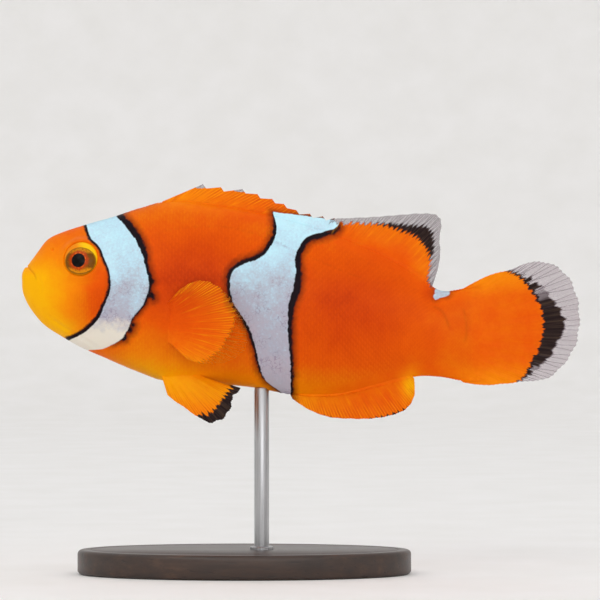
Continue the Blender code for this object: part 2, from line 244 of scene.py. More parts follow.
HEAD_BAR = Bar(
    front=(
        (-35.3, 15), (-34.5, 12.4), (-33.7, 10.4), (-32.3, 9), (-31.4, 7), (-30.6, 4.9), (-30.4, 2.2),
        (-31.2, 0), (-32.2, -2.4), (-33.7, -4.1), (-35.2, -5.2), (-37.2, -6.1), (-39.6, -6.9),
    ),
    rear=(
        (-37.6, -9.6), (-34.6, -7.9), (-32.2, -7.6), (-30.8, -7.1), (-28.7, -5.9), (-27.6, -4.1),
        (-26.7, -2.2), (-25.3, -0.5), (-24.4, 1.6), (-24.3, 3.6), (-24.7, 5.2), (-25.5, 8), (-27.1, 10.9),
        (-29.8, 14),
    ),
    front_margin=(
        (-6.8, 0), (-5.6, 0.55), (-3, 0.62), (-0.5, 0.4), (3, 0.26), (8, 0.28), (12, 0.42),
    ),
    rear_margin=(
        (-7.6, -0.4), (-6.2, 0), (-4, 0), (-1.5, 0.22), (2, 0.3), (6, 0.5), (9, 0.85), (12, 0.95),
    ),
)

MID_BAR = Bar(
    front=(
        (-4.8, 17.5), (-4.3, 14.4), (-3.8, 12), (-4.4, 9.6), (-6.2, 7.2), (-9.2, 6.1), (-10.9, 4.8),
        (-11.3, 2.6), (-10.7, -0.1), (-9.2, -2.4), (-7.9, -4.9), (-7.1, -7.6), (-6.5, -10.4), (-5.6, -12.6),
        (-3.4, -14.3), (-1.4, -15.9), (0.5, -18.5),
    ),
    rear=(
        (-1.4, -19), (-1.5, -14.3), (-1.7, -8.1), (-2, -4.1), (-1.9, -0.6), (-1.2, 2.1), (-0.7, 4.8),
        (-0.8, 7.2), (-0.1, 9), (1.3, 10.6), (3.9, 11.4), (6, 12.3), (7, 15.5),
    ),
    front_margin=(
        (-12.6, 0), (-11.2, 0.3), (-7, 0.38), (-2, 0.34), (3, 0.42), (7, 0.6), (12, 0.5), (14.5, 0),
    ),
    rear_margin=(
        (-15, 0.3), (-9, 0.4), (-3, 0.65), (1.5, 1.15), (5, 0.85), (9.5, 0.8), (11.5, 0.6), (13, 0),
    ),
    top=(
        (10, 12.6), (6.4, 13.1), (3.6, 13.6), (0.7, 14), (-2, 14.3), (-4.6, 14.6), (-8, 15),
    ),
    top_margin=((-1.5, -0.2), (0.5, 0.15), (6, 0.15)),
)


@dataclass(frozen=True)
class Crease:
    """Painted shade along a fold in the skin, or the lateral line: a fine dark line with its strength from 0
    to 1 and its half width.
    """

    line: Knots
    strength: float
    width: float = 0.12

    def shade(self, x: Array, z: Array) -> Array:
        """How dark it makes side-view points, from 0 to 1."""
        away, share = SideCurve(self.line).near(x, z)
        return self.strength * np.exp(-((away / self.width) ** 2)) * faded(share, 0.2)


@dataclass(frozen=True)
class SoftOval:
    """A value that fades softly round a place in the side view.

    On the flank's colour it deepens the orange, or turns it amber if negative.  On the skin it is a rise
    in millimetres, or a hollow if negative.
    """

    x: float
    z: float
    reach_x: float
    reach_z: float
    peak: float

    def at(self, x: Array, z: Array) -> Array:
        """Its value at side-view points."""
        return self.peak * np.exp(-(((x - self.x) / self.reach_x) ** 2) - ((z - self.z) / self.reach_z) ** 2)


def ovals(*rows: tuple[float, ...]) -> tuple[SoftOval, ...]:
    """Soft ovals, each from a row of its five numbers."""
    return tuple(SoftOval(*row) for row in rows)


@dataclass(frozen=True)
class Markings:
    """Everything that colours the fish, as fields over the side view.

    Attributes:
        bars: The white bars.
        spots: (x, z, half length, half height) of the ovals of the white saddle spot on the tail stalk.
        blots: (x, z, radius) of the black blots that break away from the head bar's rear margin.
        base_depth: Depth of orange where no glow reaches, from 0, amber, to 1, deep red-orange.
        glows: Regions that are more amber or deeper; the faint one over the anal fin's base is painted light
            on the down-facing belly.
        creases: Fine dark lines: the lateral line, and painted shade in a fold over the middle bar, in two
        folds on the tail stalk and in one at the mouth.
        stepping: Share of its root's marking in a scale's own.
    """

    bars: tuple[Bar, ...] = (HEAD_BAR, MID_BAR)
    spots: Knots = ((22.95, 1.6, 1.25, 0.8), (21.9, 0.85, 0.5, 0.5), (22.5, 1.1, 0.5, 0.4))
    blots: Knots = (
        (-23.9, 3.3, 0.36), (-23.8, 1.1, 0.38), (-23.5, 0.6, 0.24), (-26.8, -3.7, 0.2), (-27.3, -4.5, 0.3),
        (-28.4, -5.7, 0.34),
    )
    base_depth: float = 0.55
    glows: tuple[SoftOval, ...] = ovals(
        (-44, 1, 7, 7.5, -0.6), (-36, 5, 6, 6, -0.12), (-31.5, -1.5, 3.2, 6, 0.28),
        (-39.5, -4.8, 6, 2.4, -0.36), (-26, -12.5, 9, 5, -0.42), (-15, -14.5, 9, 3.6, -0.24),
        (-4, -15.5, 8, 3.4, -0.30), (-16, 4.5, 7.5, 7, 0.3), (-22, 2.5, 4.5, 5, 0.15),
        # Painted light: the faint amber oval at (8, -12.6) lightens the down-facing belly over the anal
        # fin's base.
        (8, -1, 11, 8.5, 0.30), (7, -18, 12, 2.8, -0.04), (8, -12.6, 10, 1.8, -0.06),
        (17.9, -13.6, 1.5, 2.4, -0.5), (-18, 18, 9, 3.4, -0.25), (14, 11.5, 9, 3, -0.1),
        (20.6, 1.4, 1, 1.4, 0.2), (19.8, 6.5, 2.6, 4.2, -0.13), (31, 4, 7, 2.4, -0.25),
        (31, -13, 8, 2.6, -0.25),
    )
    # Painted shade in folds, and the lateral line, as dark lines in the colour.
    creases: tuple[Crease, ...] = (
        Crease((
            (-25.5, 9.6), (-21, 11.6), (-13, 12.2), (-6, 10.6), (-1, 8.4), (8, 4.6), (16, 2),
        ), 0.12, 0.1),
        Crease(((-5.2, 10.3), (-3.9, 9.7), (-2.4, 9), (-0.6, 8.1)), 0.4, 0.1),
        Crease(((20.8, -0.4), (22.7, -1.3), (23.5, -2.6), (24.3, -4.8)), 0.18, 0.24),
        Crease(((26.2, -0.6), (26.7, -2.6), (26.8, -5.2), (26.3, -6.8)), 0.14, 0.24),
        Crease(((-43.9, 5.6), (-43.3, 5), (-42.7, 4.2), (-42.4, 3.4)), 0.2, 0.14),
    )
    stepping: float = 0.2

    def paint(self, made: Object, roots: Array | None = None) -> None:
        """Stores the markings on a mesh that is already in place.

        Args:
            made: The object, in world metres at the origin.
            roots: Fish points, one for each vertex, whose markings pull each vertex's own a little.  A
                scale gives its root, so that bar edges step from scale to scale.
        """
        points = fish(read_points(made.data))
        white, black = self.bar_depths(points)
        depth = self.orange_depth(points)
        if roots is not None:
            root_white, root_black = self.bar_depths(roots)
            white = (1 - self.stepping) * white + self.stepping * root_white
            black = (1 - self.stepping) * black + self.stepping * root_black
        # Painted shade along the folds, and the lateral line.
        crease = sum(c.shade(points[:, 0], points[:, 2]) for c in self.creases)
        store(made.data, white_mm=white, black_mm=black, orange_depth=depth, crease=crease)

    def bar_depths(self, points: Array) -> tuple[Array, Array]:
        """Depth in the white, and in the white with its margin, at fish points.

        Args:
            points: Fish points.

        Returns:
            The two depths, one row for each point.
        """
        x, z = points[:, 0], points[:, 2]
        white = black = np.full(x.shape, -99.0)
        for cx, cz, rx, rz in self.spots:
            spot = (1 - np.hypot((x - cx) / rx, (z - cz) / rz)) * min(rx, rz)
            white, black = np.maximum(white, spot), np.maximum(black, spot - 0.5)
        for cx, cz, radius in self.blots:
            black = np.maximum(black, radius - np.hypot(x - cx, z - cz))
        for bar in self.bars:
            inside, with_margin = bar.depths(x, z)
            white, black = np.maximum(white, inside), np.maximum(black, with_margin)
        return white, black

    def orange_depth(self, points: Array) -> Array:
        """Depth of orange at fish points, from 0, amber, to 1, deep red-orange."""
        x, z = points[:, 0], points[:, 2]
        return np.clip(self.base_depth + sum(glow.at(x, z) for glow in self.glows), 0.0, 1.0)


# ---- Meshes ----
def read_points(mesh: Mesh) -> Array:
    """The mesh's vertices, one row each."""
    flat = np.zeros(len(mesh.vertices) * 3, np.float32)
    mesh.vertices.foreach_get("co", flat)
    return flat.reshape(-1, 3).astype(float)


def store(mesh: Mesh, **fields: Array) -> None:
    """Stores one number, or a row of three, for each vertex under each name.

    Args:
        mesh: The mesh.
        fields: The numbers or rows, by name.
    """
    for name, values in fields.items():
        flat = np.asarray(values, np.float32)
        kind, part = ("FLOAT", "value") if flat.ndim == 1 else ("FLOAT_VECTOR", "vector")
        held = mesh.attributes.get(name) or mesh.attributes.new(name, kind, "POINT")
        held.data.foreach_set(part, flat.ravel())


def read_values(mesh: Mesh, name: str, width: int = 1) -> Array:
    """A stored point attribute, one row for each vertex."""
    flat = np.zeros(len(mesh.vertices) * width, np.float32)
    mesh.attributes[name].data.foreach_get("value" if width == 1 else "vector", flat)
    return flat.reshape(-1, width).astype(float)


def grid_quads(rows: int, columns: int, closed: bool = False) -> Array:
    """Faces of a grid of points numbered row by row.

    Args:
        rows: Number of rows of points.
        columns: Points in each row.
        closed: Whether the last column joins the first.

    Returns:
        Four point numbers for each face.
    """
    j = np.arange(columns if closed else columns - 1)
    k = (j + 1) % columns
    i = np.arange(rows - 1)[:, None] * columns
    return np.stack([i + j, i + k, i + columns + k, i + columns + j], -1).reshape(-1, 4)


def capped(rings: int, sides: int) -> list:
    """Faces of a closed form: rings of points, then one point that closes each end.

    Args:
        rings: Number of rings.
        sides: Points in each ring.

    Returns:
        Lists of point numbers.
    """
    faces = grid_quads(rings, sides, closed=True).tolist()
    count = rings * sides
    for i in range(sides):
        j = (i + 1) % sides
        faces += [[count, j, i], [count + 1, count - sides + i, count - sides + j]]
    return faces


def new_mesh(
    name: str, points: Array, faces: list, material: Material | None = None, sharp: float = 180.0
) -> Object:
    """A linked, smooth-shaded object that holds points in world metres, its faces turned outwards.

    Args:
        name: The object's name.
        points: World points, one row each.
        faces: Lists of point numbers.
        material: The finish, if it is known already.
        sharp: Edges that turn more than this, in degrees, stay sharp.

    Returns:
        The object, at the origin.
    """
    mesh = bpy.data.meshes.new(name)
    mesh.from_pydata(np.asarray(points).tolist(), [], [list(map(int, f)) for f in faces])
    bm = bmesh.new()
    bm.from_mesh(mesh)
    bmesh.ops.recalc_face_normals(bm, faces=bm.faces)
    bm.to_mesh(mesh)
    bm.free()
    mesh.shade_smooth()
    if sharp < 180.0:
        mesh.set_sharp_from_angle(angle=math.radians(sharp))
    if material:
        mesh.materials.append(material)
    return linked(name, mesh)


def grown(
    name: str, points: Array, edges: list, fields: dict[str, Array], tree: NodeTree, given: dict
) -> Object:
    """The plain mesh that a node tree makes of points and edges.

    Args:
        name: The finished object's name.
        points: World points, one row each.
        edges: Pairs of point numbers.
        fields: Numbers, or rows of three, to store on the points by name.
        tree: The node tree.
        given: Values of its other inputs, by name.

    Returns:
        The object, at the origin.
    """
    mesh = bpy.data.meshes.new(name)
    host = linked(name, mesh)
    mesh.from_pydata(np.asarray(points).tolist(), edges, [])
    store(mesh, **fields)
    maker = host.modifiers.new(name, "NODES")
    maker.node_group = tree
    for socket in tree.interface.items_tree:
        if socket.name in given:
            maker[socket.identifier] = given[socket.name]
    made = bpy.data.meshes.new_from_object(host.evaluated_get(bpy.context.evaluated_depsgraph_get()))
    host.modifiers.clear()
    host.data = made
    bpy.data.meshes.remove(mesh)
    made.shade_smooth()
    return host


def linked(name: str, data: ID) -> Object:
    """A new object of some data, linked to the scene."""
    made = bpy.data.objects.new(name, data)
    bpy.context.scene.collection.objects.link(made)
    return made


def keep(made: Object, slot: str, *nodes: str) -> None:
    """Rides a piece on the model, stands it for CAD nodes and logs its size.

    Args:
        made: The piece.
        slot: Not used.
        nodes: The CAD nodes, if any.
    """
    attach(made, "root")
    if nodes:
        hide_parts(*nodes)
    made.data.calc_loop_triangles()
    LOG.info("%s: %d triangles", made.name, len(made.data.loop_triangles))


# ---- Node trees ----
def sign(kind: str, turned: bool = False) -> Callable[..., "Value"]:
    """A method that joins a value and another value or number with a Math node of that operation.

    Args:
        kind: The operation.
        turned: Whether the value comes last.

    Returns:
        The method.
    """

    def joined(self: "Value", *others: "Value | float") -> "Value":
        """The node's result, with the value last if turned."""
        return self.tree.math(kind, *others, self) if turned else self.tree.math(kind, self, *others)

    return joined


class Value:
    """What a node puts out; values and numbers join with the usual signs."""

    def __init__(self, tree: "Tree", socket: NodeSocket) -> None:
        """Wraps an output socket."""
        self.tree, self.socket = tree, socket

    __add__ = sign("ADD")
    __sub__ = sign("SUBTRACT")
    __rsub__ = sign("SUBTRACT", turned=True)
    __mul__ = sign("MULTIPLY")
    __truediv__ = sign("DIVIDE")
    __abs__ = sign("ABSOLUTE")


class Tree:
    """A node tree with short ways to add and join nodes."""

    def __init__(self, tree: NodeTree, material: Material | None = None) -> None:
        """Wraps a tree, and the material that it belongs to."""
        self.tree, self.material = tree, material

    def add(self, kind: str, inputs: dict | None = None, **settings: object) -> Node:
        """A new node.

        Args:
            kind: Its type name.
            inputs: Input socket names or numbers, with a value or another node's output for each.
            settings: Properties of the node itself.

        Returns:
            The node.
        """
        node = self.tree.nodes.new(kind)
        for name, value in settings.items():
            setattr(node, name, value)
        for name, value in (inputs or {}).items():
            self.feed(node.inputs[name], value)
        return node

    def first(self, kind: str, inputs: dict | None = None, **settings: object) -> Value:
        """The first output of a new node."""
        return Value(self, self.add(kind, inputs, **settings).outputs[0])

    def feed(self, socket: NodeSocket, value: object) -> None:
        """Links an output into a socket, or sets the socket's own value."""
        if isinstance(value, Value):
            self.tree.links.new(value.socket, socket)
        else:
            socket.default_value = value

    def math(self, kind: str, *values: Value | float) -> Value:
        """The result of a Math node of that operation."""
        return self.first("ShaderNodeMath", dict(enumerate(values)), operation=kind)

    def mask(self, value: Value, low: Value | float, high: Value | float) -> Value:
        """A smooth step of value, from 0 at low to 1 at high."""
        inputs = {"Value": value, "From Min": low, "From Max": high}
        return self.first("ShaderNodeMapRange", inputs, interpolation_type="SMOOTHSTEP")

    def mix(self, share: Value, start: Value | Rgb, end: Value | Rgb) -> Value:
        """A colour between two, by share; a plain colour is sRGB in 0 to 255."""
        start, end = (srgb(*colour) if isinstance(colour, tuple) else colour for colour in (start, end))
        node = self.add("ShaderNodeMix", {0: share, 6: start, 7: end}, data_type="RGBA")
        return Value(self, node.outputs[2])

    def noise(self, place: Value, scale: float, detail: float = 2.0, rough: float = 0.5) -> Value:
        """A noise texture's value at a place."""
        inputs = {"Vector": place, "Scale": scale, "Detail": detail, "Roughness": rough}
        return self.first("ShaderNodeTexNoise", inputs)

    def attribute(self, name: str, part: str = "Fac") -> Value:
        """A number stored on the mesh, or the vector if that part is asked for."""
        return Value(self, self.add("ShaderNodeAttribute", attribute_name=name).outputs[part])

    def vector(self, x: Value | float, y: Value | float = 0.0, z: Value | float = 0.0) -> Value:
        """A vector of three numbers."""
        return self.first("ShaderNodeCombineXYZ", {0: x, 1: y, 2: z})

    def split(self, vector: Value) -> list[Value]:
        """The x, y and z of a vector."""
        return [Value(self, axis) for axis in self.add("ShaderNodeSeparateXYZ", {0: vector}).outputs]

    def place(self, stretch: tuple[float, float, float] = (1, 1, 1)) -> Value:
        """Object coordinates, stretched."""
        spot = Value(self, self.add("ShaderNodeTexCoord").outputs["Object"])
        return self.first("ShaderNodeMapping", {"Vector": spot, "Scale": stretch})

    def colours(self, value: Value, stops: Stops) -> Value:
        """A colour ramp through stops.

        Args:
            value: Where on the ramp.
            stops: Places from 0 to 1, with their colours.

        Returns:
            The colour.
        """
        node = self.add("ShaderNodeValToRGB", {"Fac": value})
        band = node.color_ramp.elements
        while len(band) < len(stops):
            band.new(0.5)
        for element, (at, colour) in zip(band, stops):
            element.position = at
            element.color = srgb(*colour)
        return Value(self, node.outputs[0])

    def bump(self, height: Value, distance: float, strength: float) -> Value:
        """The normal that a height gives, at a distance in metres."""
        return self.first("ShaderNodeBump", {"Height": height, "Distance": distance, "Strength": strength})

    def stored(self, name: str, kind: str = "FLOAT_VECTOR") -> Value:
        """A value stored on the points that Geometry Nodes work on."""
        node = self.add("GeometryNodeInputNamedAttribute", {"Name": name}, data_type=kind)
        return Value(self, node.outputs["Attribute"])

    def finish(self, made: Value, finish: Value) -> NodeTree:
        """Ends a Geometry Nodes tree with what it made, in its finish."""
        done = self.first("GeometryNodeSetMaterial", {"Geometry": made, "Material": finish})
        self.add("NodeGroupOutput", {0: done})
        return self.tree

    def shade(self, inputs: dict[str, object]) -> Material:
        """The tree's material, with its Principled shader's inputs fed by name."""
        for name, value in inputs.items():
            self.feed(self.tree.nodes["Principled BSDF"].inputs[name], value)
        return self.material


def srgb(red: float, green: float, blue: float) -> tuple[float, float, float, float]:
    """A screen colour in 0 to 255 as a linear colour with alpha 1."""
    shares = (red / 255, green / 255, blue / 255)
    return (*(c / 12.92 if c <= 0.04045 else ((c + 0.055) / 1.055) ** 2.4 for c in shares), 1.0)


def new_tree(name: str, kind: str, inputs: dict, outputs: dict[str, str]) -> tuple[Tree, dict[str, Value]]:
    """A node group.

    Args:
        name: The group's name.
        kind: Shader or Geometry.
        inputs: Inputs, with the usual value of a number or the socket type of anything.
        outputs: Outputs, with their socket types.

    Returns:
        The tree, and its inputs by name.
    """
    group = bpy.data.node_groups.new(name, f"{kind}NodeTree")
    for title, given in inputs.items():
        typed = isinstance(given, str)
        socket_type = f"NodeSocket{given if typed else 'Float'}"
        socket = group.interface.new_socket(title, in_out="INPUT", socket_type=socket_type)
        if not typed:
            socket.default_value = given
    for title, given in outputs.items():
        group.interface.new_socket(title, in_out="OUTPUT", socket_type=f"NodeSocket{given}")
    tree = Tree(group)
    return tree, {s.name: Value(tree, s) for s in tree.add("NodeGroupInput").outputs if s.name}


def new_material(name: str) -> Tree:
    """The tree of a new material with a Principled shader."""
    made = bpy.data.materials.new(name)
    made.use_nodes = True
    return Tree(made.node_tree, made)


# ---- Finishes ----
@dataclass(frozen=True)
class FishColours:
    """The fish's colouring, shared by skin, scales and fins as one node group.

    Attributes:
        oranges: Orange from amber to deep red-orange, by stored depth.
        whites: The bars' white from the belly up to the back, lighter and bluer upwards: partly its own
            tint, partly painted light from above.
        cream: White of the head bar's lower end.
        worm: Fine wavy lines in the white, and the painted shade in its folds.
        fleck: Bright specks in the white.
        black: The bars' margins.
        brown: The soft outer edge of the margins, and the painted shade in folds of the orange.
    """

    oranges: Stops = (
        (0.0, (255, 182, 2)), (0.3, (250, 136, 2)), (0.6, (236, 88, 0)), (0.82, (216, 68, 0)),
        (1.0, (186, 46, 0)),
    )
    whites: Stops = (
        (0.0, (192, 181, 193)), (0.3, (184, 183, 197)), (0.52, (188, 203, 217)), (0.76, (196, 228, 243)),
        (1.0, (202, 243, 255)),
    )
    cream: Rgb = (240, 231, 216)
    worm: Rgb = (124, 96, 132)
    fleck: Rgb = (240, 248, 252)
    black: Rgb = (26, 14, 20)
    brown: Rgb = (104, 32, 4)

    def group(self) -> NodeTree:
        """Builds the group: jagged bar edges over mottled orange, as a colour and a white mask.

        Returns:
            The group.
        """
        inputs = {"Jag mm": 0.3, "Softness mm": 0.08, "Mottle": 0.26}
        tree, given = new_tree("fish colours", "Shader", inputs, {"Color": "Color", "White": "Float"})
        place = tree.place()
        mottle = tree.noise(place, 260.0, 4.0, 0.62) - 0.5
        speck = tree.noise(place, 2600.0, 2.0, 0.6) - 0.5
        coarse = tree.noise(place, 330.0, 1.0)
        stray = (tree.noise(place, 950.0, 2.0, 0.55) - 0.5) * 2.4 + (coarse - 0.5)
        jag, soft = stray * given["Jag mm"], given["Softness mm"]
        in_black = tree.attribute("black_mm") + jag
        white = tree.mask(tree.attribute("white_mm") + jag * 0.45, soft * -1.0, soft)
        black = tree.mask(in_black, soft * -3.6, soft)
        behind_head = tree.mask(tree.split(place)[0], -0.0318, -0.0292)
        halo = tree.mask(in_black, -1.4, 0.1) * behind_head
        creases = tree.attribute("crease")

        # Painted highlight on each scale's rear edge, which turns a little more amber.
        rear_edge_highlight = tree.mask(tree.split(tree.attribute("blank_place", "Vector"))[0], 0.14, 0.3)
        unevenness_and_edge_highlight = (mottle + speck * 0.45) * given["Mottle"] - rear_edge_highlight * 0.05
        orange = tree.colours(tree.attribute("orange_depth") + unevenness_and_edge_highlight, self.oranges)
        # The brown over the orange: the margins' soft outer edge, and painted shade in the folds.
        orange_with_halo_and_fold_shade = tree.mix(tree.math("MAXIMUM", creases, halo) * 0.8, orange, self.brown)
        pale = self.pale(tree, place, mottle, speck, coarse)
        # Painted shade in the folds of the white.
        white_with_fold_shade = tree.mix(creases * 0.7, pale, self.worm)
        colour = tree.mix(white, tree.mix(black, orange_with_halo_and_fold_shade, self.black), white_with_fold_shade)
        tree.add("NodeGroupOutput", {"Color": colour, "White": white})
        return tree.tree

    def pale(self, tree: Tree, place: Value, mottle: Value, speck: Value, coarse: Value) -> Value:
        """The bars' white: lighter and bluer towards the back, partly painted light from above, cream low on
        the head, with wavy lines in patches.

        Args:
            tree: The group's tree.
            place: Object coordinates.
            mottle: Medium unevenness, about 0.
            speck: Fine unevenness, about 0.
            coarse: Broad unevenness, about 0.5.

        Returns:
            The colour.
        """
        x, _, z = tree.split(place)
        height = z + mottle * 0.006
        # Painted light from above, partly the white's own tint: level rises up the flank and makes the white
        # lighter and bluer.
        level = tree.mask(height, 0.030, 0.061) + mottle * 0.75 + speck * 0.5
        wave = abs(tree.noise(place, 1250.0, 1.0) - 0.5)
        lined = tree.mask(height, 0.050, 0.043) * tree.mask(coarse, 0.44, 0.58)
        low_head = tree.mask(x, -0.024, -0.027) * tree.mask(height, 0.0412, 0.0392)
        worms = tree.mask(wave, 0.045, 0.008) * lined
        white = tree.mix(worms * 0.42, tree.colours(level, self.whites), self.worm)
        white = tree.mix(low_head, white, self.cream)
        return tree.mix(tree.mask(speck, 0.06, 0.3) * 0.16, white, self.fleck)


@dataclass(frozen=True)
class SkinFinish:
    """Moist fish skin or scale.

    Attributes:
        name: The material's name.
        jag: How far bar edges stray, in millimetres.
        roughness: Middle roughness.
        grain: Depth of the fine bump, in metres.
    """

    name: str
    jag: float
    roughness: float
    grain: float = 0.00002

    def material(self, colours: NodeTree) -> Material:
        """Builds the material from the shared colouring.

        Args:
            colours: The shared colouring.

        Returns:
            The material.
        """
        tree = new_material(self.name)
        paint = tree.add("ShaderNodeGroup", {"Jag mm": self.jag}, node_tree=colours)
        place = tree.place()
        return tree.shade({
            "Base Color": Value(tree, paint.outputs["Color"]),
            "Roughness": tree.noise(place, 900.0) * 0.12 + (self.roughness - 0.06),
            "Normal": tree.bump(tree.noise(place, 3400.0, 3.0, 0.6), self.grain, 0.6),
            "Specular IOR Level": MOIST_GLOSS,
            "Subsurface Weight": 0.06,
            "Subsurface Radius": (1.0, 0.4, 0.15),
            "Subsurface Scale": 0.0012,
        })


@dataclass(frozen=True)
class FinFinish:
    """Fin web or fin ray: orange, then black, then clear towards the margin.

    Attributes:
        name: The material's name.
        clear_alpha: How much of the clear margin shows.
        clear: Colour of the clear margin.
        ink: The black before it.
        fibre: Ray lines in the black.
        amber: The fin's own amber towards its tips, and the painted highlight along the rays in the orange.
        furrow: Painted shade between the rays in the orange, with their darker streaks.
        streak: Strength of the streaks along the rays.
        teeth: How far the black's edges jut and recede from ray to ray, in millimetres.
        breaks_from: (middle ray, rays) about which, and beyond how many, the black is broken by gaps.
        lift: How much of the ray's amber shows towards its tip.
    """

    name: str
    clear_alpha: float
    clear: Rgb
    ink: Rgb = (34, 22, 24)
    fibre: Rgb = (78, 62, 50)
    amber: Rgb = (255, 158, 4)
    furrow: Rgb = (206, 66, 0)
    streak: float = 0.5
    teeth: float = 0.3
    breaks_from: Pair | None = None
    lift: float = 0.1

    def material(self, colours: NodeTree) -> Material:
        """Builds the material from the shared colouring and the fin's own fields.

        Args:
            colours: The shared colouring.

        Returns:
            The material.
        """
        tree = new_material(self.name)
        paint = tree.add("ShaderNodeGroup", node_tree=colours).outputs
        body, white = Value(tree, paint["Color"]), Value(tree, paint["White"])
        across, out = tree.attribute("fin_across"), tree.attribute("fin_out")
        lines = tree.noise(tree.vector(across * 5.0, out), 1.3, 2.0, 0.6) - 0.5
        ink, clear = self.bands(tree, across, out)
        ridge = self.ridge(tree, across, out, lines)
        free = tree.mask(out, 0.22, 0.85)
        tipward = tree.mask(out, 0.3, 1.0) * self.lift
        # Painted highlight along the raised rays, with the fin's own amber towards the tips.
        ray_highlight_and_tip = tree.math("MAXIMUM", tree.mask(ridge, 0.02, 0.5) * free, tipward)
        colour = tree.mix(ray_highlight_and_tip, body, self.amber)
        # Painted shade between the rays, with their darker streaks.
        colour = tree.mix(tree.mask(ridge, -0.02, -0.5) * free * 0.55, colour, self.furrow)
        colour = tree.mix(white, colour, body)
        colour = tree.mix(ink, colour, tree.mix(tree.mask(lines, -0.1, 0.3), self.ink, self.fibre))
        film = lines * 0.2 + self.clear_alpha
        return tree.shade({
            "Base Color": tree.mix(clear, colour, self.clear),
            "Alpha": 1.0 - clear * (1.0 - film),
            "Normal": tree.bump(ridge * free, 0.00008, 0.4),
            "Roughness": lines * 0.2 + 0.46,
            "Specular IOR Level": MOIST_GLOSS,
        })

    def bands(self, tree: Tree, across: Value, out: Value) -> tuple[Value, Value]:
        """Masks of the black and of the clear margin, whose edges stray from ray to ray.

        Args:
            tree: The material's tree.
            across: Ray count from the front.
            out: Share along the ray.

        Returns:
            The two masks.
        """
        ragged = tree.noise(tree.vector(across * 6.0, out * 3.0), 1.0, 3.0, 0.75) - 0.5
        tooth = (tree.math("PINGPONG", across, 0.25) - 0.125) * (-8.0 * self.teeth)
        stray = ragged * 2.2 + tooth
        in_ink = tree.attribute("ink_mm") + stray
        clear = tree.mask(tree.attribute("clear_mm") + stray * 0.8, -0.2, 0.2)
        if self.breaks_from:
            middle, whole = self.breaks_from
            patchy = tree.noise(tree.vector(across, z=4.7), 2.2, 1.0) + ragged * 0.3
            gap = tree.mask(patchy, 0.42, 0.49) * tree.mask(abs(across - middle), whole, whole + 2.0)
            clear = tree.math("MAXIMUM", clear, gap * tree.mask(in_ink, 0.3, 0.6))
        return tree.mask(in_ink, -0.12, 0.12), clear

    def ridge(self, tree: Tree, across: Value, out: Value, lines: Value) -> Value:
        """Height of the rays over the web, about 0: one line for each, then four where it has forked.

        Args:
            tree: The material's tree.
            across: Ray count from the front.
            out: Share along the ray.
            lines: Streaks along the rays, about 0.

        Returns:
            The height.
        """
        ray = tree.mask(tree.math("PINGPONG", across, 0.5), 0.2, 0.48)
        twig = tree.mask(tree.math("PINGPONG", across, 0.125), 0.045, 0.115)
        forked = tree.mask(out, 0.45, 0.8)
        return (ray * (1.0 - forked) + twig * forked - 0.5 + lines * 2.2) * self.streak


@dataclass(frozen=True)
class EyeFinish:
    """A clownfish eye: black pupil, red ring, brown oval that reaches front and back, golden rim with a
    painted highlight at its upper rear.

    Attributes:
        pupil: Pupil radius, in millimetres.
        oval: Half length and half height of the brown oval.
        shift: How far behind the pupil the oval's middle lies.
    """

    pupil: float = PUPIL
    oval: Pair = (2.5, 2.1)
    shift: float = 0.24

    def material(self) -> Material:
        """Builds the material from the place on the eye, stored in millimetres aft and up of the pupil.

        Returns:
            The material.
        """
        tree = new_material("eye")
        aft, up = tree.attribute("eye_aft"), tree.attribute("eye_up")
        fibre = tree.noise(tree.place(), 2600.0, 3.0, 0.6) - 0.5
        wander = fibre * 0.3
        radius = tree.math("SQRT", aft * aft + up * up)
        along, high = (aft - self.shift) / self.oval[0], up / self.oval[1]
        oval = tree.math("SQRT", along * along + high * high) + wander * 0.2
        stray = wander * 2.0

        brown = tree.mix(tree.mask(abs(aft) + stray, 0.5, 1.5), (196, 78, 0), (118, 70, 2))
        brown = tree.mix(tree.mask(up + stray, 1.0, 1.5), brown, (206, 134, 6))
        brown = tree.mix(tree.mask(up + stray, -0.95, -1.5), brown, (226, 140, 4))
        brown = tree.mix(tree.mask(fibre, 0.02, 0.22), brown, (150, 84, 0))
        gold = tree.mix(tree.mask(up, -1.6, 1.2), (196, 122, 0), (244, 140, 0))
        # Painted highlight at the rim's upper rear: vivid yellow over its own gold.
        gold = tree.mix(tree.mask(up + aft * 1.5, 1.2, 3.8), gold, (255, 200, 4))
        colour = tree.mix(tree.mask(oval, 0.93, 1.03), brown, gold)
        colour = tree.mix(tree.mask(abs(oval - 0.99), 0.07, 0.0) * 0.75, colour, (112, 74, 0))

        red = tree.mask(radius + wander * 4.0, self.pupil + 0.75, self.pupil + 0.2)
        spark = tree.mask(radius, self.pupil + 0.3, self.pupil + 0.1) * tree.mask(fibre, -0.06, 0.22)
        hole = tree.mask(radius, self.pupil + 0.06, self.pupil - 0.04)
        for share, paint in ((red, (184, 62, 0)), (spark, (246, 112, 14)), (hole, (4, 3, 4))):
            colour = tree.mix(share, colour, paint)
        return tree.shade({
            "Base Color": colour,
            "Normal": tree.bump(fibre, 0.00002, 0.3),
            "Roughness": fibre * 0.1 + 0.3,
            "Specular IOR Level": 0.1,
            "Coat Weight": 0.04,
            "Coat Roughness": 0.04,
        })


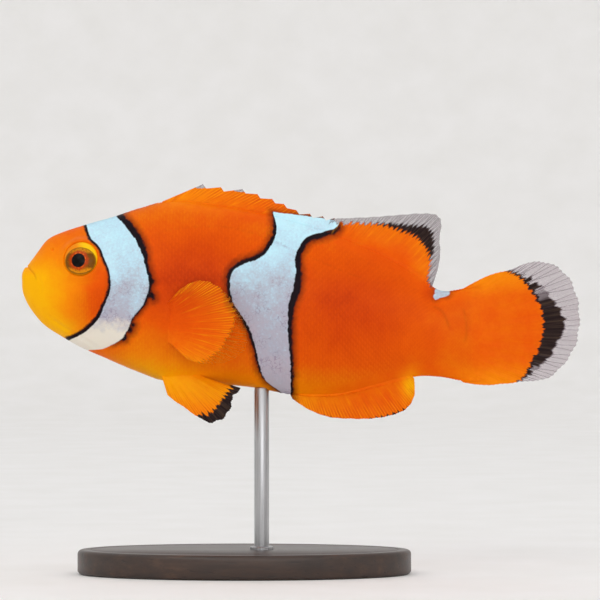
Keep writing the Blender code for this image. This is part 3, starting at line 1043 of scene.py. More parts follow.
@dataclass(frozen=True)
class StainedWood:
    """Dark stained close-grained wood under a satin lacquer.

    Attributes:
        browns: The stain, from the dark grain to the light.
        pore: The open pores.
    """

    browns: Stops = ((0.3, (38, 25, 18)), (0.55, (58, 39, 28)), (0.75, (80, 55, 39)))
    pore: Rgb = (20, 13, 10)

    def material(self) -> Material:
        """Builds the material: grain runs along X.

        Returns:
            The material.
        """
        tree = new_material("stained wood")
        grain = tree.noise(tree.place((18.0, 190.0, 190.0)), 3.2, 5.0, 0.65)
        pores = tree.mask(tree.noise(tree.place((240.0, 2600.0, 2600.0)), 1.0), 0.60, 0.72)
        return tree.shade({
            "Base Color": tree.mix(pores * 0.6, tree.colours(grain, self.browns), self.pore),
            "Roughness": grain * 0.2 + 0.34,
            "Normal": tree.bump(grain * 0.4 - pores, 0.00005, 0.35),
            "Coat Weight": 0.25,
            "Coat Roughness": 0.22,
        })


@dataclass(frozen=True)
class SatinSteel:
    """Steel rod, drawn lengthwise and satin polished.

    Attributes:
        greys: The draw lines, from dark to light.
    """

    greys: Stops = ((0.3, (150, 150, 152)), (0.7, (192, 192, 194)))

    def material(self) -> Material:
        """Builds the material: draw lines run along Z.

        Returns:
            The material.
        """
        tree = new_material("satin steel")
        lines = tree.noise(tree.place((5200.0, 5200.0, 60.0)), 1.0, 3.0, 0.6)
        return tree.shade({
            "Base Color": tree.colours(lines, self.greys),
            "Roughness": lines * 0.22 + 0.2,
            "Normal": tree.bump(lines, 0.00001, 0.3),
            "Metallic": 1.0,
        })


@dataclass(frozen=True)
class StudioPaper:
    """Pale seamless paper of the floor and backdrop.

    Attributes:
        tones: The paper's two near-white tones.
    """

    tones: Stops = ((0.3, (246, 244, 241)), (0.7, (250, 248, 246)))

    def material(self) -> Material:
        """Builds the material."""
        tree = new_material("studio paper")
        fleck = tree.noise(tree.place(), 60.0, 3.0)
        return tree.shade({"Base Color": tree.colours(fleck, self.tones), "Roughness": 0.85})


# ---- Body ----
@dataclass(frozen=True)
class Groove:
    """A line pressed into the skin, or a step where one plate laps over the next.

    Attributes:
        line: Where it runs in the side view.
        depth: Depth of the groove; the step's height if step is set.
        width: Half width of the groove, or of the step's fall.
        step: Whether the positive side of the line lies lower, with the other side swelling to a lip.
        fade: Share of the line at each end over which it fades out.
    """

    line: Knots
    depth: float
    width: float
    step: bool = False
    fade: float = 0.15

    def relief(self, x: Array, z: Array) -> Array:
        """Height that it adds to the skin at side-view points.

        Args:
            x: Side-view x of the points.
            z: Side-view z of the points.

        Returns:
            One height for each point.
        """
        away, share = SideCurve(self.line).near(x, z)
        strength = faded(share, self.fade)
        if not self.step:
            return -self.depth * strength * np.exp(-((away / self.width) ** 2))
        lip = 0.45 * np.exp(-((np.minimum(away, 0) / (6 * self.width)) ** 2))
        low = -0.55 * np.exp(-np.maximum(away, 0) / (5 * self.width))
        return self.depth * strength * np.where(away < 0, lip, lip + (low - lip) * ramp(away, 0, self.width))


@dataclass(frozen=True)
class EyePlace:
    """Where and how large the eyes and their sockets are, in millimetres.

    Attributes:
        x: Side-view x of the eye's centre.
        z: Side-view z of the eye's centre.
        radius: Radius of the flattened ball, across the cheek.
        depth: Its half depth, along the way it looks.
        inset: How far its widest plane lies under the cheek.
        up: Upward tilt.
        forward: Forward tilt.
        gap: Space between the ball and the skin's edge round it.
        rim: Height of the skin round it over its widest plane.
        lid: How much higher the skin stands at its edge.
        lid_width: Half width of that rise.
        reach: Distance from the eye's centre within which the skin is drawn to it.
        fall: Slope of the socket's wall under the ball.
        floor: Depth of the socket under the widest plane.
        same_side: Distance from the widest plane past which skin is the other flank's.
    """

    x: float = -35.2
    z: float = 6.95
    radius: float = 2.85
    depth: float = 1.35
    inset: float = 0.35
    up: float = math.radians(13.0)
    forward: float = math.radians(12.0)
    gap: float = 0.05
    rim: float = 0.34
    lid: float = 0.16
    lid_width: float = 0.45
    reach: float = 4.3
    fall: float = 1.6
    floor: float = 1.0
    same_side: float = 3.5

    def outward(self, flank: Flank) -> Array:
        """The way the eye looks."""
        level = math.cos(self.forward)
        side, rise = level * math.cos(self.up), level * math.sin(self.up)
        return np.array([-math.sin(self.forward), flank.value * side, rise])

    def centre(self, flank: Flank, body: "BodyForm") -> Array:
        """The flattened ball's centre, as a fish point."""
        cheek = np.array([self.x, flank.value * body.half_width(self.x, self.z), self.z])
        return cheek - self.outward(flank) * self.inset


@dataclass(frozen=True)
class BodyForm:
    """The bare body: a loft through stations from snout to tail root.

    Attributes:
        stations: (back x, back z, belly x, belly z, half width) from the snout.
        ridge: How much narrower than an ellipse a ring is at the back.
        keel: The same at the belly.
        wedge: How much narrower still the underside is over the anal fin.
        widest: Where a ring is widest, as a share of its half height above the middle.
    """

    stations: Knots = (
        (-45, 3.6, -45, 3.6, 0), (-44.7, 5.3, -44.9, 1.7, 1.25), (-43.7, 6.4, -44.2, -0.1, 2.1),
        (-42.5, 8.1, -43.1, -1.8, 2.9), (-40.8, 10.2, -41.4, -3.7, 3.8), (-38.3, 11.5, -38.8, -5.5, 4.7),
        (-35, 12.6, -35.6, -7.4, 5.5), (-30.6, 13.8, -31, -9.4, 6.2), (-26, 15.3, -26.2, -11.4, 6.7),
        (-20.5, 16.6, -21, -13.1, 7), (-14, 16, -14, -13.4, 6.9), (-7.5, 15, -8, -13.9, 6.5),
        (-1, 13.4, -1, -15.1, 5.9), (6, 11.1, 6, -15.2, 5), (13, 8.2, 13, -13.6, 4),
        (18.5, 5.2, 18.5, -12.2, 3.1), (22.5, 2.1, 22.5, -12.2, 2.4), (26.6, 2.3, 26.6, -12.8, 1.5),
        (30.2, 2.6, 30.2, -12.4, 0.5),
    )
    ridge: float = 0.20
    keel: float = 0.08
    wedge: float = 0.42
    widest: float = 0.04

    def station(self, u: Array) -> Array:
        """The stations' five numbers at shares of the body's length, one column each."""
        x_back, z_back, x_belly, z_belly, half = self.stations[1]
        return smooth(self.stations, u, np.array([x_belly, z_belly, x_back, z_back, -half])).T

    def middle(self, u: Array) -> Array:
        """The rings' middle x at shares of the body's length."""
        x_back, _, x_belly, _, _ = self.station(u)
        return (x_back + x_belly) / 2

    def surface(self, u: Array, v: Array) -> Array:
        """Fish points of the body.

        Args:
            u: Shares along the body, from the snout.
            v: Shares round it, from the back down the left flank.

        Returns:
            One row for each pair.
        """
        x_back, z_back, x_belly, z_belly, half = self.station(u)
        up = np.cos(2 * np.pi * v)
        level = up + self.widest * (1 - up * up)
        x = (x_back + x_belly) / 2 + level * (x_back - x_belly) / 2
        wedge = self.wedge * ramp(x, -8.0, 3.0) * ramp(x, 21.0, 16.5)
        low = np.maximum(-up, 0)
        pinch = 1 - self.ridge * np.maximum(up, 0) ** 2 - self.keel * low**2 - wedge * low**4
        z = (z_back + z_belly) / 2 + level * (z_back - z_belly) / 2
        return np.stack([x, -half * np.sin(2 * np.pi * v) * pinch, z], -1)

    def normal(self, u: Array, v: Array) -> Array:
        """Outward directions of the body at shares along and round it."""
        step = 1e-4
        along = self.surface(np.minimum(u + step, 1.0), v) - self.surface(np.maximum(u - step, 0.0), v)
        around = self.surface(u, v + step) - self.surface(u, v - step)
        return unit(np.cross(around, along))

    def beyond(self, x: Array, z: Array) -> Array:
        """How far side-view points lie outside the body's outline, or negative inside it.

        Args:
            x: Side-view x of the points.
            z: Side-view z of the points.

        Returns:
            One distance for each point.
        """
        back = [(s[0], s[1]) for s in self.stations]
        belly = [(s[2], s[3]) for s in self.stations[::-1]]
        edges = (back, [back[-1], belly[0]], belly)
        return np.max([SideCurve(tuple(edge), 90).signed(x, z) for edge in edges], axis=0)

    def half_width(self, x: float, z: float) -> float:
        """The body's half width at a side-view point.

        Args:
            x: Its x.
            z: Its z.

        Returns:
            The half width.
        """
        u = np.linspace(0, 1, 401)
        nearest = int(np.argmin(np.abs(self.middle(u) - x)))
        _, z_back, _, z_belly, half = self.station(u)[:, nearest]
        level = (z - (z_back + z_belly) / 2) / ((z_back - z_belly) / 2)
        up = level - self.widest * (1 - level * level)
        return half * math.sqrt(1 - up * up) * (1 - self.ridge * max(up, 0) ** 2)


GILL_SLIT = (
    (-27.2, 9.6), (-25.4, 6.6), (-24.3, 3.4), (-24.6, 0.8), (-26.4, -2), (-28, -5), (-30.2, -7.4),
)
CHEEK_FOLD = ((-31.2, 5.6), (-30.9, 1.6), (-32, -2.2), (-34.2, -4.6), (-37.2, -5.8))
UNDER_EYE = ((-41.6, 6.6), (-40.2, 4.6), (-37.6, 3.4), (-34.6, 3.2), (-32.2, 5))
MOUTH = ((-45.4, 6.2), (-44.2, 5.8), (-43.5, 5.2), (-42.9, 4.5), (-42.5, 3.7))


@dataclass
class Skin:
    """One seamless skin over head, jaw, gill covers, trunk and tail stalk.

    Attributes:
        body: The bare body.
        eye: Where the eyes sit.
        rings: Rings of points along the body.
        sides: Points round each ring.
        coat: How far the skin lies under the bare body, for the scales' thickness.
        bare_coat: The same on the snout, which has no scales.
        folds: Grooves and steps.
        swellings: Soft rises and hollows.
    """

    body: BodyForm
    eye: EyePlace
    rings: int = 330
    sides: int = 232
    coat: float = 0.15
    bare_coat: float = 0.03
    folds: tuple[Groove, ...] = (
        Groove(GILL_SLIT, 0.34, 0.24, step=True, fade=0.3),
        Groove(CHEEK_FOLD, 0.08, 0.4, step=True, fade=0.3),
        Groove(MOUTH, 0.24, 0.15, fade=0.25),
        Groove(((-42.7, 4.8), (-41.9, 3.4), (-41.6, 2), (-41.9, 0.9)), 0.08, 0.26, fade=0.35),
        Groove(UNDER_EYE, 0.05, 0.4, fade=0.3),
        Groove(((-42, -1.2), (-38.6, -3.8), (-34.4, -6.4), (-31.2, -8.6)), 0.12, 0.3, fade=0.3),
        Groove(((22.4, -1), (23.6, -2.6), (24.2, -4.6), (24, -6)), 0.1, 0.28, fade=0.4),
        Groove(((26, 0), (27, -2.4), (27.2, -4.2), (26.6, -6.2)), 0.1, 0.28, fade=0.4),
    )
    swellings: tuple[SoftOval, ...] = ovals(
        (-43.1, 6.5, 0.7, 0.5, 0.10), (-44.4, 4.3, 0.8, 0.8, 0.16), (-39.9, 8.5, 0.42, 0.36, 0.16),
        (-39.9, 8.5, 0.2, 0.18, -0.5), (-36.6, -1, 3.2, 3, 0.18), (-28.2, 0.5, 2.4, 4.5, 0.12),
        (-21.6, -3.8, 1.6, 3.2, 0.35),
    )

    def relief(self, points: Array) -> Array:
        """Height of the skin over the bare body at fish points.

        Args:
            points: Fish points.

        Returns:
            One height for each point.
        """
        x, z = points[:, 0], points[:, 2]
        naked = ramp(x, -36.5, -41.5)
        height = -self.coat + (self.coat - self.bare_coat) * naked
        height += sum(fold.relief(x, z) for fold in self.folds)
        return height + sum(swelling.at(x, z) for swelling in self.swellings)

    def settle_eyes(self, points: Array) -> Array:
        """Sinks a socket under each eye and raises the skin round it to the eye's edge.

        Args:
            points: Fish points of the skin.

        Returns:
            The moved points.
        """
        eye = self.eye
        edge = eye.radius + eye.gap
        for flank in Flank:
            outward = eye.outward(flank)
            from_centre = points - eye.centre(flank, self.body)
            height = from_centre @ outward
            radius = np.linalg.norm(from_centre - height[:, None] * outward, axis=1)
            rim = eye.rim + eye.lid * np.exp(-(((radius - edge) / eye.lid_width) ** 2))
            socket = np.maximum(eye.rim + eye.lid - eye.fall * (edge - radius), -eye.floor)
            goal = np.where(radius < edge, socket, rim)
            pull = ramp(radius, eye.reach, edge + 2 * eye.gap) * (np.abs(height) < eye.same_side)
            points = points + outward * ((goal - height) * pull)[:, None]
        return points

    def points(self, u: Array, v: Array) -> Array:
        """Fish points of the finished skin at shares along and round the body."""
        bare = self.body.surface(u, v)
        raised = bare + self.body.normal(u, v) * self.relief(bare)[:, None]
        return self.settle_eyes(raised)

    def shares(self) -> Array:
        """Shares of the rings along the body, closer together on the head."""
        even = np.linspace(0, 1, 2001)
        x = self.body.middle(even)
        weight = 1.0 + 3.2 * ramp(x, -24.0, -30.0) + 2.0 * ramp(x, -41.0, -44.0)
        travel = np.concatenate([[0.0], np.cumsum(np.abs(np.diff(x)) * weight[1:])])
        return np.interp(np.linspace(0, travel[-1], self.rings + 1)[1:], travel, even)

    def build(self, finish: Material, markings: Markings) -> Object:
        """Builds and dresses the skin.

        Args:
            finish: The skin's material.
            markings: The fish's markings.

        Returns:
            The finished piece.
        """
        rows = self.shares()
        around = np.arange(self.sides) / self.sides
        u, v = (a.ravel() for a in np.meshgrid(rows, around, indexing="ij"))
        snout = self.body.surface(np.zeros(1), np.zeros(1))
        tail = self.points(np.full(self.sides, 1.0), around).mean(0, keepdims=True)
        points = np.vstack([self.points(u, v), snout, tail])
        made = new_mesh("skin", world(points), capped(len(rows), self.sides), finish)
        self.unwrap(made.data, np.append(u, [0.0, 1.0]), np.append(v, [0.5, 0.5]))
        markings.paint(made)
        return made

    def unwrap(self, mesh: Mesh, u: Array, v: Array) -> None:
        """Gives the skin a UV map from its shares, with the seam along the back.

        Args:
            mesh: The skin's mesh.
            u: Share along the body, one for each vertex.
            v: Share round the body.
        """
        corners = np.zeros(len(mesh.loops), np.int64)
        mesh.loops.foreach_get("vertex_index", corners)
        starts = np.zeros(len(mesh.polygons), np.int64)
        mesh.polygons.foreach_get("loop_start", starts)
        place = v[corners]
        highest = np.maximum.reduceat(place, starts)
        highest = np.repeat(highest, np.diff(starts, append=len(corners)))
        crosses = (highest > 1 - 1.5 / self.sides) & (place < 0.5 / self.sides)
        both = np.stack([u[corners], np.where(crosses, 1.0, place)], -1)
        layer = mesh.uv_layers.new(name="unwrap")
        layer.uv.foreach_set("vector", both.astype(np.float32).ravel())


# ---- Scales ----
@dataclass
class ScaleCoat:
    """Overlapping scales in continuous rows, smaller on the head and towards the tail.

    Attributes:
        skin: The skin that they lie on.
        rows: Rows of scales on each flank, from back to belly.
        length: Length of a scale over its row's height; each column covers half of the one before.
        front: Where the coat starts, side-view x.
        rear: Where it ends.
        lift: Slope of a scale's top, up to its rear edge.
        sink: How deep the coat's outermost scales lie in the skin.
        patch: Size of one scale's patch on the bake map.
        seed: Seed of the scales' small differences.
        wander: Spread of their places round the body, as a share of it.
        variety: Spread of their sizes, as a share.
    """

    skin: Skin
    rows: int = 26
    length: float = 0.80
    front: float = -38.6
    rear: float = 29.2
    lift: float = 0.06
    sink: float = 0.16
    patch: float = 0.003
    seed: int = 7
    wander: float = 0.0006
    variety: float = 0.03

    def blank(self) -> Object:
        """One scale, about 1.6 long and wide: rear edge to +X, top to +Z, three dozen faces.

        Returns:
            The scale.
        """

        def ring(x: Array, y: Array, sink: float, dome: float) -> Array:
            """Points of the scale's sloping, domed top."""
            return np.stack([x, y, self.lift * (x + 1.0) * 1.15 - sink - dome * y**2], -1)

        count = 12
        turn = np.linspace(0, 2 * np.pi, count, endpoint=False)
        x, y = np.cos(turn) * np.where(np.cos(turn) > 0, 0.62, 1.0), np.sin(turn) * 0.78
        rim, crest = ring(x, y, 0.10, 0.10), ring(x * 0.7, y * 0.7, 0.075, 0.07)
        middle, under = ring(np.array([-0.1]), np.zeros(1), 0.065, 0.0), [[-0.2, 0.0, -0.22]]
        points = np.vstack([rim, crest, middle, under])
        faces = []
        for i in range(count):
            j = (i + 1) % count
            faces += [[i, j, count + j, count + i], [count + i, count + j, 2 * count], [j, i, 2 * count + 1]]
        made = new_mesh("scale_blank", points, faces)
        store(made.data, blank_place=points * [0.5, 0.5, 0.0])
        return made

    def seats(self, flank: Flank) -> dict[str, Array]:
        """Where the scales of one flank sit.

        Args:
            flank: Which side.

        Returns:
            By name: fish points "root", body shares "u" and "v", and sizes "long" and "wide".
        """
        body = self.skin.body
        even = np.linspace(0, 1, 1201)
        x_middle = body.middle(even)
        girth = self.half_girth(even)
        u_at = []
        found, end = np.interp([self.front, self.rear], x_middle, even)
        while found < end:
            u_at.append(found)
            row_height = np.interp(found, even, girth) / self.rows
            x_next = np.interp(found, even, x_middle) + row_height * self.length / 2
            found = np.interp(x_next, x_middle, even)
        places = {"u": [], "v": [], "wide": []}
        for i, u in enumerate(u_at):
            shares = (np.arange(self.rows) + (0.25 if i % 2 else 0.75)) / self.rows
            v, height = self.even_round(u, shares)
            places["u"].append(np.full(self.rows, u))
            places["v"].append(v if flank is Flank.LEFT else 1.0 - v)
            places["wide"].append(np.full(self.rows, height))
        seats = {name: np.concatenate(values) for name, values in places.items()}
        seats["long"] = seats["wide"] * self.length
        rng = np.random.default_rng(self.seed + flank.value)
        seats["v"] = seats["v"] + rng.normal(0, self.wander, len(seats["v"]))
        seats["root"] = self.skin.points(seats["u"], seats["v"])
        inside = self.depth_in_coat(seats["root"])
        sunk = self.sink * (1 - ramp(inside, 0.0, 2.2))
        seats["root"] -= body.normal(seats["u"], seats["v"]) * sunk[:, None]
        return {name: values[inside > 0] for name, values in seats.items()}

    def half_girth(self, u: Array) -> Array:
        """Length of one flank's arc, from back to belly, at shares along the body."""
        lines = [self.skin.body.surface(u, np.full(len(u), v)) for v in np.linspace(0, 0.5, 33)]
        return sum(np.linalg.norm(below - above, axis=1) for above, below in zip(lines, lines[1:]))

    def even_round(self, u: float, shares: Array) -> tuple[Array, float]:
        """Round-shares that divide a flank's arc evenly, and the height of one row there."""
        v = np.linspace(0, 0.5, 65)
        ring = self.skin.body.surface(np.full(65, u), v)
        travel = np.concatenate([[0.0], np.cumsum(np.linalg.norm(np.diff(ring, axis=0), axis=1))])
        return np.interp(shares * travel[-1], travel, v), travel[-1] / self.rows

    def depth_in_coat(self, points: Array) -> Array:
        """How far points lie inside the coat's border.

        Bare are the snout, lips and chin, a ring round the eye, a strip behind the gill slit and the edges
        of back and belly, where the fins stand.

        Args:
            points: Fish points.

        Returns:
            One distance for each point, negative outside.
        """
        x, z = points[:, 0], points[:, 2]
        eye = np.hypot(x - self.skin.eye.x, z - self.skin.eye.z) - 3.8
        snout = x + 38.4 - 0.35 * np.maximum(z - 6.0, 0) + 0.12 * np.maximum(-z, 0)
        chin = np.where(x < -31.0, z + 4.6 + 0.42 * (x + 38.0), 9.0)
        slit, share = SideCurve(GILL_SLIT).near(x, z)
        strip = np.where((slit > -0.15) & (slit < 0.45) & (share > 0.2) & (share < 0.8), -1.0, 9.0)
        ridge = np.where(x > -23.0, -0.1 - self.skin.body.beyond(x, z), 9.0)
        return np.min([eye, snout, chin, strip, ridge, self.rear + 0.3 - x], axis=0)

    def tree(self) -> NodeTree:
        """The node tree that sets a scale on each point, turned along its own directions.

        Returns:
            The tree.
        """
        inputs = {
            "Seats": "Geometry", "Scale": "Object", "Size": "Float", "Thickness": "Float", "Patch": "Float",
            "Finish": "Material",
        }
        tree, given = new_tree("scale coat", "Geometry", inputs, {"Made": "Geometry"})

        def vectors(kind: str, first: Value, second: Value) -> Value:
            """The result of a Vector Math node of that operation."""
            inputs = {0: first, "Scale" if kind == "SCALE" else 1: second}
            return tree.first("ShaderNodeVectorMath", inputs, operation=kind)

        inputs = {0: tree.stored("outward"), 1: tree.stored("lie")}
        turn = tree.first("FunctionNodeAxesToRotation", inputs, primary_axis="Z", secondary_axis="X")
        size = vectors("MULTIPLY", tree.stored("size"), tree.vector(1.0, 1.0, given["Thickness"]))
        size = vectors("SCALE", size, given["Size"])
        one = Value(tree, tree.add("GeometryNodeObjectInfo", {"Object": given["Scale"]}).outputs["Geometry"])
        inputs = {"Points": given["Seats"], "Instance": one, "Rotation": turn, "Scale": size}
        placed = tree.first("GeometryNodeInstanceOnPoints", inputs)
        solid = tree.first("GeometryNodeRealizeInstances", {"Geometry": placed})
        patch = vectors("SCALE", tree.stored("blank_place"), given["Patch"])
        spot = vectors("ADD", tree.stored("patch_root"), patch)
        inputs = {"Name": "OFBake", "Geometry": solid, "Value": spot}
        mapped = tree.first("GeometryNodeStoreNamedAttribute", inputs, data_type="FLOAT2", domain="CORNER")
        return tree.finish(mapped, given["Finish"])

    def build(self, flank: Flank, tree: NodeTree, finish: Material, markings: Markings) -> Object:
        """Builds one flank's coat.

        Args:
            flank: Which side.
            tree: The coat's node tree.
            finish: The scales' material.
            markings: The fish's markings.

        Returns:
            The finished piece.
        """
        seats = self.seats(flank)
        u, v, root = seats["u"], seats["v"], seats["root"]
        body, step = self.skin.body, 2e-3
        lie = unit(world(body.surface(u + step, v)) - world(body.surface(u - step, v)))
        around = world(body.surface(u, v + step)) - world(body.surface(u, v - step))
        outward = unit(np.cross(around, lie))
        rng = np.random.default_rng(self.seed * 3 + flank.value)
        size = np.stack([seats["long"], seats["wide"], seats["wide"]], -1) * MM
        size = size * rng.normal(1.0, self.variety, (len(u), 1))
        patch_root = np.stack([u, v, np.zeros(len(u))], -1)
        fields = {"lie": lie, "outward": outward, "size": size, "root": root, "patch_root": patch_root}
        one = self.blank()
        given = {"Scale": one, "Size": 1.0, "Thickness": 1.0, "Patch": self.patch, "Finish": finish}
        made = grown(f"scales_{flank.word}", world(root), [], fields, tree, given)
        bpy.data.objects.remove(one, do_unlink=True)
        made.data.set_sharp_from_angle(angle=math.radians(50))
        markings.paint(made, read_values(made.data, "root", 3))
        return made


# ---- Fins ----
@dataclass(frozen=True)
class FinForm:
    """A rayed fin, given by the curve of its roots and the curve of its margin.

    Attributes:
        name: The CAD node that it stands for, without the flank.
        roots: Root curve as fish points, from the front ray back.
        margin: Margin curve as fish points, in the same order.
        rays: Number of rays.
        notch: Depth of the margin's notches, one for each ray, as a share of the ray's length.
        teeth: The same for the finer notches, four for each ray.
        arch: Twice how far a paired fin's rays arch sideways, before they run back.
        side: Sign of Y for a paired fin, 0 for a fin in the middle plane.
        wave: How far the web waves to both sides between the rays, at its margin.
        edge_thickness: Web thickness at the margin.
        root_thickness: How much thicker it is at the root, before its flare.
        flare: How much thicker the web is where it leaves the body.
        reach: Distance from the body over which the flare fades.
        span: Usual length of a paired fin's rays.
        sunk: Length of theirs that lies in the body.
        stalk: (x, z, half height) where a tail fin's web runs out of the flat end of the tail stalk.
        orange_edge: Where orange ends, positive beyond; none if it never does.
        ink_edge: Where the black that follows it ends.
        inked: Whether black follows the orange; otherwise its clear margin does.
        branches: Shares of the ray's length where it forks.
        spread: How far each fork's branches part, in rays.
        tapers: Thickness at both ends of a ray, of its two branches and of their four.
        columns_per_ray: Steps of the web's grid across each ray.
        rows: Points of the web's grid along a ray.
    """

    name: str
    roots: Knots
    margin: Knots
    rays: int
    notch: float = 0.012
    teeth: float = 0.010
    arch: float = 0.0
    side: int = 0
    wave: float = 0.05
    edge_thickness: float = 0.12
    root_thickness: float = 0.18
    flare: float = 1.5
    reach: float = 0.95
    span: float = 12.0
    sunk: float = 1.2
    stalk: tuple[float, ...] = ()
    orange_edge: Knots = ()
    ink_edge: Knots = ()
    inked: bool = True
    branches: Pair = (0.42, 0.70)
    spread: Pair = (0.25, 0.125)
    tapers: Knots = ((0.17, 0.12), (0.11, 0.09), (0.08, 0.045))
    columns_per_ray: int = 10
    rows: int = 44

    def on(self, flank: Flank) -> "FinForm":
        """A paired fin's form on one flank."""
        return replace(self, name=f"{self.name}_{flank.word}", side=flank.value)

    def ends(self, across: Array) -> tuple[Array, Array]:
        """Root and margin points.

        Args:
            across: Shares across the fin.

        Returns:
            Root points and margin points, one row each for each share.
        """
        root, margin = smooth(self.roots, across), smooth(self.margin, across)
        turn = 2 * np.pi * across * self.rays
        short = self.notch * (0.5 + 0.5 * np.cos(turn)) + self.teeth * (0.5 + 0.5 * np.cos(4 * turn))
        return root, root + (margin - root) * (1 - short[:, None])

    def line(self, across: Array, out: Array) -> Array:
        """Fish points of the fin's middle surface.

        Args:
            across: Shares across the fin, from the front.
            out: Shares along the ray, from the root; a little over 1 reaches past the margin.

        Returns:
            One row for each pair.
        """
        root, tip = self.ends(across)
        t = out[:, None]
        points = root + (tip - root) * t
        if self.side:
            points[:, 1] += 2 * self.arch * out * (1 - out)
            points[:, 1] *= self.side
        return points

    def bands(self, x: Array, z: Array) -> tuple[Array, Array]:
        """How deep side-view points lie in the black, and in the clear margin."""
        edges = (self.orange_edge, self.ink_edge)
        curves = [SideCurve(edge) if edge else None for edge in edges]
        orange, ink = (c.signed(x, z) if c else np.full(len(x), ABSENT) for c in curves)
        return (orange, ink) if self.inked else (ink, orange)

    def thickness(self, body: BodyForm, points: Array, out: Array) -> Array:
        """Web thickness.

        Args:
            body: The bare body.
            points: Fish points of the middle surface.
            out: Shares along the ray.

        Returns:
            One thickness for each point.
        """
        flare = self.flare
        if self.stalk:
            x, z, half_height = self.stalk
            away = points[:, 0] - x
            flare = flare * np.exp(-(((points[:, 2] - z) / half_height) ** 2))
        else:
            away = out * self.span - self.sunk if self.side else body.beyond(points[:, 0], points[:, 2])
        plain = self.edge_thickness + self.root_thickness * (1 - out)
        return plain + flare * np.exp(-np.maximum(away, 0) / self.reach)

    def ray_lines(self) -> list[tuple[Array, Array, float, float]]:
        """Every ray and branch: shares across, shares out, thickness at its start and at its end.

        Returns:
            One row of the four for each.
        """
        lines = []
        starts = (0.02, *self.branches, 1.0)
        for k in range(self.rays):
            for signs in ((), (-1,), (1,), (-1, -1), (-1, 1), (1, -1), (1, 1)):
                order = len(signs)
                out = np.linspace(starts[order], starts[order + 1], 7 if signs else 10)
                shift = np.zeros(len(out))
                for side, fork, spread in zip(signs, self.branches, self.spread):
                    shift += side * spread * ramp(out, fork - 0.02, 1.0)
                across = np.clip((k + 0.5 + shift) / self.rays, 0, 1)
                lines.append((across, out, *self.tapers[order]))
        return lines


@dataclass(frozen=True)
class SpinyFinForm(FinForm):
    """A fin of stiff spines whose web is notched behind each tip.

    Attributes:
        tips: (x, z) of the spine tips.
        front: (x, z) where the margin starts, ahead of the first tip.
        drop: How far the web drops behind a tip.
        lag: How far behind the tip it is lowest.
        spine: Thickness at a spine's root and at its tip.
        pale: (x, z, half length, half height) of the ovals round the tips that are clear.
    """

    tips: Knots = ()
    front: Pair = (0.0, 0.0)
    drop: float = 0.7
    lag: float = 0.5
    spine: Pair = (0.22, 0.06)
    pale: Knots = ()

    def bands(self, x: Array, z: Array) -> tuple[Array, Array]:
        """How deep side-view points lie in the black, which it lacks, and in the clear tips."""
        depths = [2 * (1 - np.hypot((x - cx) / rx, (z - cz) / rz)) for cx, cz, rx, rz in self.pale]
        return np.full(len(x), ABSENT), np.max(depths, axis=0)

    def ends(self, across: Array) -> tuple[Array, Array]:
        """Root and margin points.

        Args:
            across: Shares across the fin.

        Returns:
            Root points and margin points, one row each for each share.
        """
        count = len(self.tips)
        root_at, margin = [0.0], [(self.front[0], 0.0, self.front[1])]
        for i, (x, z) in enumerate(self.tips):
            root_at += [(i + 0.6) / count, (i + 1.1) / count]
            margin += [(x, 0.0, z), (x + self.lag, 0.0, z - self.drop)]
        root_at, margin = root_at[:-1], margin[:-1]
        place = across * (len(margin) - 1)
        whole = np.arange(len(margin))
        root = smooth(self.roots, np.interp(place, whole, root_at))
        tip = np.stack([np.interp(place, whole, np.array(margin)[:, c]) for c in range(3)], -1)
        return root, tip

    def ray_lines(self) -> list[tuple[Array, Array, float, float]]:
        """The spines: shares across, shares out, thickness at the root and at the tip."""
        last = 2 * len(self.tips) - 1
        out = np.linspace(0.02, 1.0, 12)
        return [(np.full(12, (2 * i + 1) / last), out, *self.spine) for i in range(len(self.tips))]


SPINY_DORSAL = SpinyFinForm(
    name="dorsal_fin_spiny",
    roots=((-23.2, 0, 14.3), (-16.8, 0, 14.5), (-9, 0, 13.3), (-2, 0, 11.6), (4.6, 0, 9.6)),
    margin=(),
    rays=10,
    tips=(
        (-15.7, 19.1), (-12.8, 18.6), (-9.3, 18.3), (-6.9, 17.5), (-4.5, 16.7), (-2.6, 15.9), (-0.6, 14.9),
        (1.6, 14.3), (3.7, 13.9), (5.6, 13.6),
    ),
    front=(-22.2, 16.3),
    pale=((-16.05, 18.9, 1, 0.5), (-9.7, 18.2, 0.9, 0.4)),
    columns_per_ray=20,
    rows=24,
)
SOFT_DORSAL = FinForm(
    name="dorsal_fin_soft",
    roots=((3.6, 0, 9.8), (10.5, 0, 7.2), (16, 0, 4.2), (20.2, 0, 0.6)),
    margin=(
        (5, 0, 13.55), (9.4, 0, 13.7), (12.9, 0, 13.9), (16.4, 0, 14.2), (19.6, 0, 14.4), (22, 0, 14.2),
        (22.9, 0, 12.9), (22.6, 0, 10.4), (22.7, 0, 7.9), (22.3, 0, 5.4), (21.3, 0, 2.4),
    ),
    rays=15,
    orange_edge=(
        (24, -1), (20.9, 2.8), (21.1, 5.8), (20.6, 8.2), (19.1, 10.2), (17.1, 11.3), (13.9, 12.3),
        (11.2, 12.7), (6, 13), (2, 13.2),
    )[::-1],
    ink_edge=(
        (24, 0), (20.9, 3), (21.15, 6.6), (21.5, 8.4), (21.5, 10.6), (20.6, 12.1), (17.1, 12.5),
        (13, 12.75), (9, 12.7), (2, 13.1),
    )[::-1],
)
